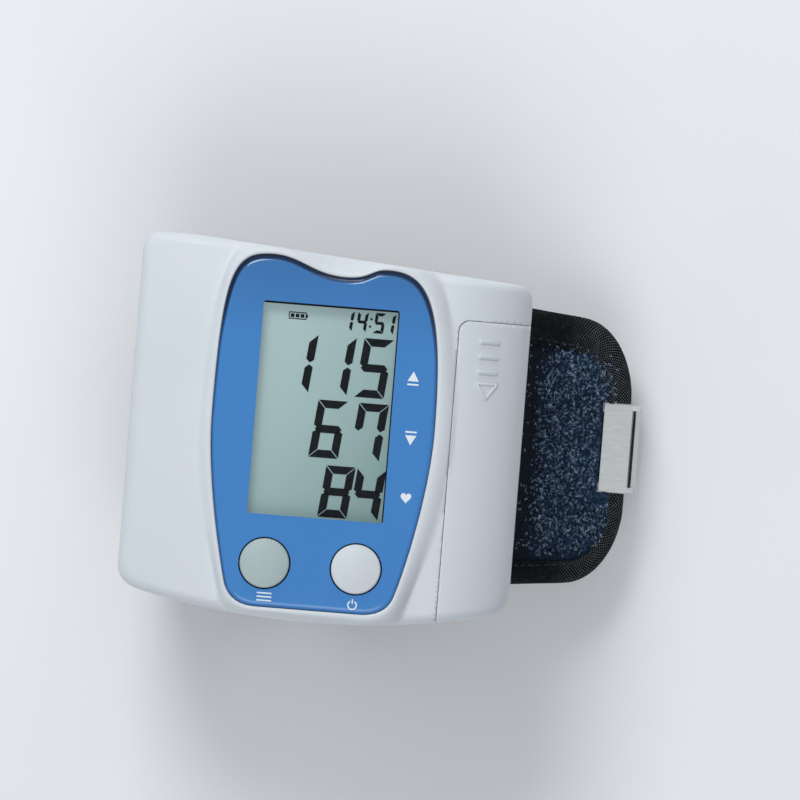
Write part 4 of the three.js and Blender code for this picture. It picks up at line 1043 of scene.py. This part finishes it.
# Painted highlight: the knit's pale dots show in full only towards the flap's tip, where light catches the
# tape, and are dimmed to 6 % elsewhere.
painted_tip_highlight = tape_place.axis("X").ramp(0.0485, 0.055, 0.06, 1)
dots = knots.ramp(0.35, 0.9) * painted_tip_highlight * lint.ramp(0.3, 0.6, 0.5, 1) + lint.ramp(0.5, 0.8) * 0.06
feed(tape_shader, Base_Color=dots.colours((5, 7, 8), (128, 135, 142)), Roughness=0.95,
     Specular_IOR_Level=0.12)
bumped(tape_shader, knots * 0.5 + lint * 0.3, 0.12)
knit, knit_shader, knit_place = material("smooth_lining")
rib = knit_place.axis("Y").wave(0.0011)
feed(knit_shader, Base_Color=(rib.ramp(-1, 1) * 0.5 + noise(knit_place, 400, 3) * 0.5).colours(
    (17, 18, 21), (40, 42, 48)), Roughness=0.85, Sheen_Weight=0.15)
bumped(knit_shader, rib * 0.5 + noise(knit_place, 1500, 2) * 0.5, 0.12)
for piece in (cuff_cloth, base_lining, binding):
    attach(piece, "monitor")
settle(cuff_cloth, "cuff_cloth", pile, "cuff_cover")
settle(base_lining, "lining_cloth", knit, "cuff_lining")
settle(binding, "cuff_cloth", tape_look)

# Soft end of the cuff: the same cloth past the rest flat, tapering to a tongue of black webbing that threads
# through the steel ring and sticks back on the loop cloth by its hook patch.
cover_tip, tongue_half = 9.4, 7.4
tongue_end = soft_end + arc_run(under_radius, tongue_turn)
bend_run = 5


def soft_half(run):
    past = min(1, max(0, (run - joint_run) / (soft_end - joint_run)))
    return cover_tip + (band_half - cover_tip) * math.sqrt(max(0, 1 - past * past))


def webbing_strip(name, start, end, half, outer, inner):
    """A flat woven strip along the band, with rounded selvedges."""
    return padded_band(name, spread(start, end, 0.8), lambda run: half, outer, inner, 0, across=10, edge=0,
                       uneven=0)


soft_cloth = padded_band("soft_end_cloth", spread(joint_run, soft_end - 0.3, 1.0), soft_half,
                         outer_face, inner_face, 0.6)
soft_lining = padded_band("soft_end_lining", spread(joint_run + 0.4, soft_end - 2.5, 1.4), soft_half,
                          lining_face, -half_thick, 3.4, across=20, edge=0.7, wrinkle=0.1)
soft_binding = bind_edge("soft_end_binding", around_end(soft_half, soft_end, 0.8), -1, lambda place: 4.2)
tongue = webbing_strip("tongue_webbing", soft_end - 3, tongue_end, tongue_half, 0.5, -1.2)
hooks = webbing_strip("hook_strip", soft_end + 3.6, tongue_end - 0.4, tongue_half - 1, 1.1, 0.52)
weave, weave_shader, weave_place = material("black_webbing")
warp_weft = weave_place.axis("Y").wave(0.0012) * (weave_place.axis("X") + weave_place.axis("Z")).wave(0.0012)
feed(weave_shader, Base_Color=warp_weft.ramp(-1, 1).colours((12, 13, 15), (44, 46, 50)), Roughness=0.85,
     Sheen_Weight=0.15)
bumped(weave_shader, warp_weft, 0.16)
for piece in (soft_cloth, soft_lining, soft_binding, tongue, hooks):
    on_band(joint_run, 0, half_thick) * MM
    on_band(joint_run + bend_run, 0, half_thick) * MM
    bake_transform(piece)
settle(soft_cloth, "cuff_cloth", pile, "strap_cover")
settle(soft_lining, "lining_cloth", knit, "strap_lining")
settle(soft_binding, "cuff_cloth", tape_look)
settle(tongue, "webbing", weave, "strap_tongue")
settle(hooks, "webbing", weave, "hook_patch")

# Steel ring: bent and welded plate, polished and chromed, with a raised bright bevel, loose on its pin. The
# pin sits in a fold of webbing sewn under the flap.
pin_at = sum(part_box("ring_pin"), Vector()) / 2 / MM


def pressed_flat(point):
    """The ring's plate as the photograph shows it: flat across its top, and up and to the right."""
    x, z = point.x / MM - pin_at.x, point.z / MM - pin_at.z
    far, turn = math.hypot(x, z), math.degrees(math.atan2(z, x))
    share = smooth_step(12, 33, turn) * (1 - smooth_step(129, 150, turn))
    wide_x = x * (1 + 0.11 * share) if x > 0 else x
    wide_x += 0.7 * smooth_step(2.2, 4, far) + 0.35 * smooth_step(1, 4, x)
    return Vector((pin_at.x + wide_x, point.y / MM + ring_up, pin_at.z + z + (far - z) * share)) * MM


def moved_up(point):
    return point + Vector((0, ring_up * MM, 0))


def refined(node, name, width_mm, angle=38, moved=None):
    """A copy of a CAD node whose shape is right, welded into one skin and given finely rounded edges."""
    piece = frame["nodes"][node].copy()
    piece.data = piece.data.copy()
    piece.name = piece.data.name = name
    piece.parent = None
    piece.matrix_world = Matrix.Identity(4)
    bpy.context.scene.collection.objects.link(piece)
    bm = bmesh.new()
    bm.from_mesh(piece.data)
    bmesh.ops.remove_doubles(bm, verts=bm.verts, dist=2e-6)
    for vert in bm.verts if moved else ():
        vert.co = moved(vert.co)
    bmesh.ops.dissolve_limit(bm, angle_limit=math.radians(1.5), verts=bm.verts, edges=bm.edges)
    bm.to_mesh(piece.data)
    bm.free()
    return soften(piece, width_mm, angle)


ring = refined("cuff_ring", "steel_ring", 0.2, moved=pressed_flat)
pin = refined("ring_pin", "steel_pin", 0.1, moved=moved_up)
tab = refined("ring_tab", "webbing_tab", 0.25, moved=moved_up)
chrome, chrome_shader, chrome_place = material("polished_chrome")
scratch = noise(chrome_place.node("ShaderNodeMapping", Vector=chrome_place, Scale=(400, 4000, 400)), 1, 3)
feed(chrome_shader, Base_Color=scratch.within().colours((202, 206, 208), (210, 213, 215)), Metallic=1.0,
     Roughness=scratch.within(0.19, 0.23))
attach(ring, "ring")
settle(ring, "ring_chrome", chrome, "cuff_ring")
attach(pin, "monitor")
settle(pin, "ring_chrome", chrome, "ring_pin")
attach(tab, "monitor")
settle(tab, "webbing", weave, "ring_tab")

# Pile: fine curled loops of light and dark blue yarn that stand out of the outer cloth, thickest on the flap.
# They are brushed up out of the knit, for the hook patch to hold on.
random.seed(7)
curl_sides, curl_steps = 3, 6
ring_room, table_clear = 10.6, 0.7
bare_share, pile_from, pile_full = 0.1, 42.5, 47
thinned, thin_from, thin_full = 0.7, 15, 21


def curl_mesh(turns, size, thin):
    """One loose curl of yarn as a fine closed tube."""
    centre = []
    for k in range(curl_steps + 1):
        along = k / curl_steps
        centre.append(Vector((size * 0.5 * math.sin(turns * math.pi * along), size * 0.55 * (along - 0.5),
                              size * 0.42 * math.sin(math.pi * along) + 0.1 * math.cos(turns * k))))
    rings = []
    for k, at in enumerate(centre):
        way = (centre[min(k + 1, curl_steps)] - centre[max(k - 1, 0)]).normalized()
        side = way.orthogonal().normalized()
        other = way.cross(side)
        rings.append([at + (side * math.cos(turn) + other * math.sin(turn)) * thin
                      for turn in (2 * math.pi * j / curl_sides for j in range(curl_sides))])
    return mesh_of("curl", bridged(rings, (0, -1)))


curls = [curl_mesh(*sizes) for sizes in
         ((1.2, 0.8, 0.042), (1.7, 0.7, 0.045), (2.2, 0.75, 0.038), (1.0, 0.95, 0.038), (2.6, 0.65, 0.042))]


def add_turned(bm, template, place):
    """Adds a small mesh to a bmesh, put in its place first."""
    turned = template.copy()
    turned.transform(place)
    bm.from_mesh(turned)
    bpy.data.meshes.remove(turned)


def pile_share(x, y):
    """How thickly the curls stand on the flap: hardly at all by the housing, and thinner near the edges."""
    full = 1 - smooth_step(thin_from, thin_full, y) * thinned
    return bare_share + smooth_step(pile_from, pile_full, x) * full


def pile_field(name, count, start, end, inset):
    """Curls strewn over the band's outer side between two lengths along it."""
    bm = bmesh.new()
    made = 0
    while made < count:
        run, y = random.uniform(start, end), random.uniform(-1, 1) * band_half
        half = flap_half(run) - inset
        if half <= 1 or abs(y) > half:
            continue
        at = on_band(run, y, half_thick - 0.12 + random.uniform(-0.12, 0.1))
        if at.z < table_clear or (run < 0 and at.x > notch_from - 0.8 and abs(y) < ring_room):
            continue
        if run < 0 and random.random() > pile_share(at.x, abs(y)):
            continue
        place = Matrix.Translation(at) @ band_at(run)[1].to_track_quat("Z", "Y").to_matrix().to_4x4() \
            @ Matrix.Rotation(random.uniform(0, 2 * math.pi), 4, "Z") \
            @ Matrix.Rotation(random.uniform(-0.5, 0.5), 4, "X") @ Matrix.Scale(random.uniform(0.75, 1.15), 4)
        add_turned(bm, random.choice(curls), place)
        made += 1
    return finished(name, bm)


def yarn(name, dark, light, low=0.35, high=0.65):
    look, shader, where = material(name)
    feed(shader, Base_Color=noise(where, 1300, 2).ramp(low, high).colours(dark, light), Roughness=0.8,
         Specular_IOR_Level=0.3)
    return look


light_yarn = yarn("light_yarn", (40, 76, 116), (196, 224, 246), 0.38, 0.66)
dark_yarn = yarn("dark_yarn", (14, 22, 38), (40, 64, 92))
thin_out = 1
flap_field, side_field = (-flap_end + 5.4, -24, 6.0), (26, joint_run - 14, 6.2)
for name, count, field, look in (("flap_curls_light", 2300, flap_field, light_yarn),
                                 ("flap_curls_dark", 3200, flap_field, dark_yarn),
                                 ("side_curls_light", 1000, side_field, light_yarn),
                                 ("side_curls_dark", 3000, side_field, dark_yarn)):
    piece = pile_field(name, int(count * thin_out), *field)
    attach(piece, "monitor")
    settle(piece, "cuff_cloth", look)

# Stitches: a line of black thread along the inner edge of the cuff's binding tape, sewn through tape and
# cloth, each stitch a small raised bead on the outer side.
stitch_long, stitch_pitch, stitch_thick, stitch_clear = 1.5, 2.3, 0.16, 0.4
bm = bmesh.new()
bmesh.ops.create_uvsphere(bm, u_segments=8, v_segments=5, radius=1)
bmesh.ops.scale(bm, vec=(stitch_long / 2, stitch_thick, stitch_thick), verts=bm.verts)
one_stitch = mesh_of("stitch", bm)


def stitch_line(name, line, level):
    """Stitches along a line of run and y, each turned along it on the band's outer side."""
    bm = bmesh.new()
    even = evened(line, stitch_pitch)
    for a, b in zip(even, even[1:]):
        start, end = on_band(a.x, a.y, level), on_band(b.x, b.y, level)
        by_ring = max(start.x, end.x) > notch_from - 0.6 and abs(a.y) < ring_room + 0.2
        if min(start.z, end.z) < stitch_clear or (a.x < 0 and by_ring):
            continue
        way = (end - start).normalized()
        side = band_at(a.x)[1].cross(way).normalized()
        turned = Matrix((way, side, way.cross(side))).transposed().to_4x4()
        add_turned(bm, one_stitch, Matrix.Translation((start + end) / 2) @ turned)
    return finished(name, bm)


seam_share = 0.82
seam = [place + inward * flap_binding(place) * seam_share
        for place, inward in with_way_in(evened(flap_edge, 1.0), 1)]
stitches = stitch_line("binding_stitches", seam, half_thick + 0.2)
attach(stitches, "monitor")
settle(stitches, "webbing", yarn("black_thread", (20, 22, 26), (52, 56, 62)))

# Back cover and inside: the lower half of the housing, and the works behind it, each with the finish of its
# slot in the record: moulded white and black, silicone hose, green board, plated cans, sleeved cells, nickel
# contacts.
back = refined("back_cover", "back_shell", 0.35, angle=40)
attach(back, "monitor")
settle(back, "housing_plastic", plastic, "back_cover")
bladder_half = 26
shiny = {"Metallic": 1.0}
slot_finishes = {
    "inner_white": ("moulded_white", (216, 216, 208), (228, 228, 222), 2400, (0.4, 0.55), 0.015, {}),
    "inner_black": ("moulded_black", (20, 21, 23), (32, 33, 36), 2400, (0.4, 0.55), 0.015, {}),
    "rubber_strip": ("black_rubber", (24, 24, 26), (36, 36, 38), 3000, (0.6, 0.75), 0.02, {}),
    "hose_silicone": ("milky_silicone", (204, 208, 206), (218, 221, 218), 1500, (0.3, 0.45), 0.01,
                      {"Subsurface_Weight": 0.4}),
    "board_green": ("solder_mask", (14, 74, 42), (20, 92, 52), 1800, (0.25, 0.4), 0.01, {}),
    "motor_steel": ("plated_can", (150, 152, 156), (172, 174, 178), 2200, (0.22, 0.4), 0.01, shiny),
    "cell_wrap": ("cell_sleeve", (34, 40, 46), (42, 50, 56), 900, (0.2, 0.3), 0.01, {}),
    "contact_metal": ("nickel_contact", (196, 196, 194), (212, 212, 208), 3200, (0.18, 0.34), 0.006, shiny),
    "screw_steel": ("zinc_screw", (140, 144, 150), (170, 172, 168), 2600, (0.3, 0.5), 0.01, shiny),
    "bladder_film": ("bladder_film", (120, 124, 128), (136, 140, 144), 700, (0.35, 0.5), 0.03, {}),
}


def surface(name, low, high, per_metre, rough, depth_mm, settings):
    """A finish with a fine grain in its roughness and relief, and slow drifts in its colour."""
    look, shader, where = material(name)
    grain = noise(where, per_metre, 4)
    feed(shader, Base_Color=noise(where, per_metre / 12, 2).within().colours(low, high),
         Roughness=grain.within(*rough), **settings)
    bumped(shader, grain, depth_mm)
    return look, shader, where


def lines(place, pitch_mm, low, high):
    """Parallel lines across a place value: 1 on a line, 0 between."""
    return place.wave(pitch_mm * MM).ramp(low, high)


finishes = {slot: surface(*finish) for slot, finish in slot_finishes.items()}
board_shader, board_place = finishes["board_green"][1:]
x, y = board_place.axis("X"), board_place.axis("Y")
tracks = lines(x, 1.3, 0.75, 0.85).maximum(lines(y, 2.1, 0.86, 0.93))
solder = lines(x, 2.6, 0.8, 0.9) * lines(y, 2.6, 0.8, 0.9)
feed(board_shader, Base_Color=solder.colours(tracks.colours((14, 78, 44), (34, 118, 62)), (206, 200, 176)),
     Metallic=solder * 0.9)
sleeve_shader, sleeve_place = finishes["cell_wrap"][1:]
cell_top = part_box("battery_upper")[1].y
cell_band = sleeve_place.axis("Y").ramp(cell_top - 0.0135, cell_top - 0.0133)
shrunk = lines(sleeve_place.axis("Y"), 44, 0.97, 0.98)
feed(sleeve_shader, Base_Color=cell_band.maximum(shrunk).colours((36, 42, 48), (176, 128, 74)),
     Metallic=cell_band * 0.6)
can_shader, can_place = finishes["motor_steel"][1:]
bumped(can_shader, (can_place.axis("Y") * 9000).sine(), 0.006)
for row in frame["record"]["subparts"]:
    if row["material_slot"] in finishes:
        dress(finishes[row["material_slot"]][0], row["node"])
bladder = padded_band("bladder_pad", spread(-bladder_half, bladder_half, 1.6), flap_half, -0.05,
                      -half_thick * 0.62, 4.6, across=20, edge=0.8)
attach(bladder, "monitor")
settle(bladder, "bladder_film", finishes["bladder_film"][0], "air_bladder")
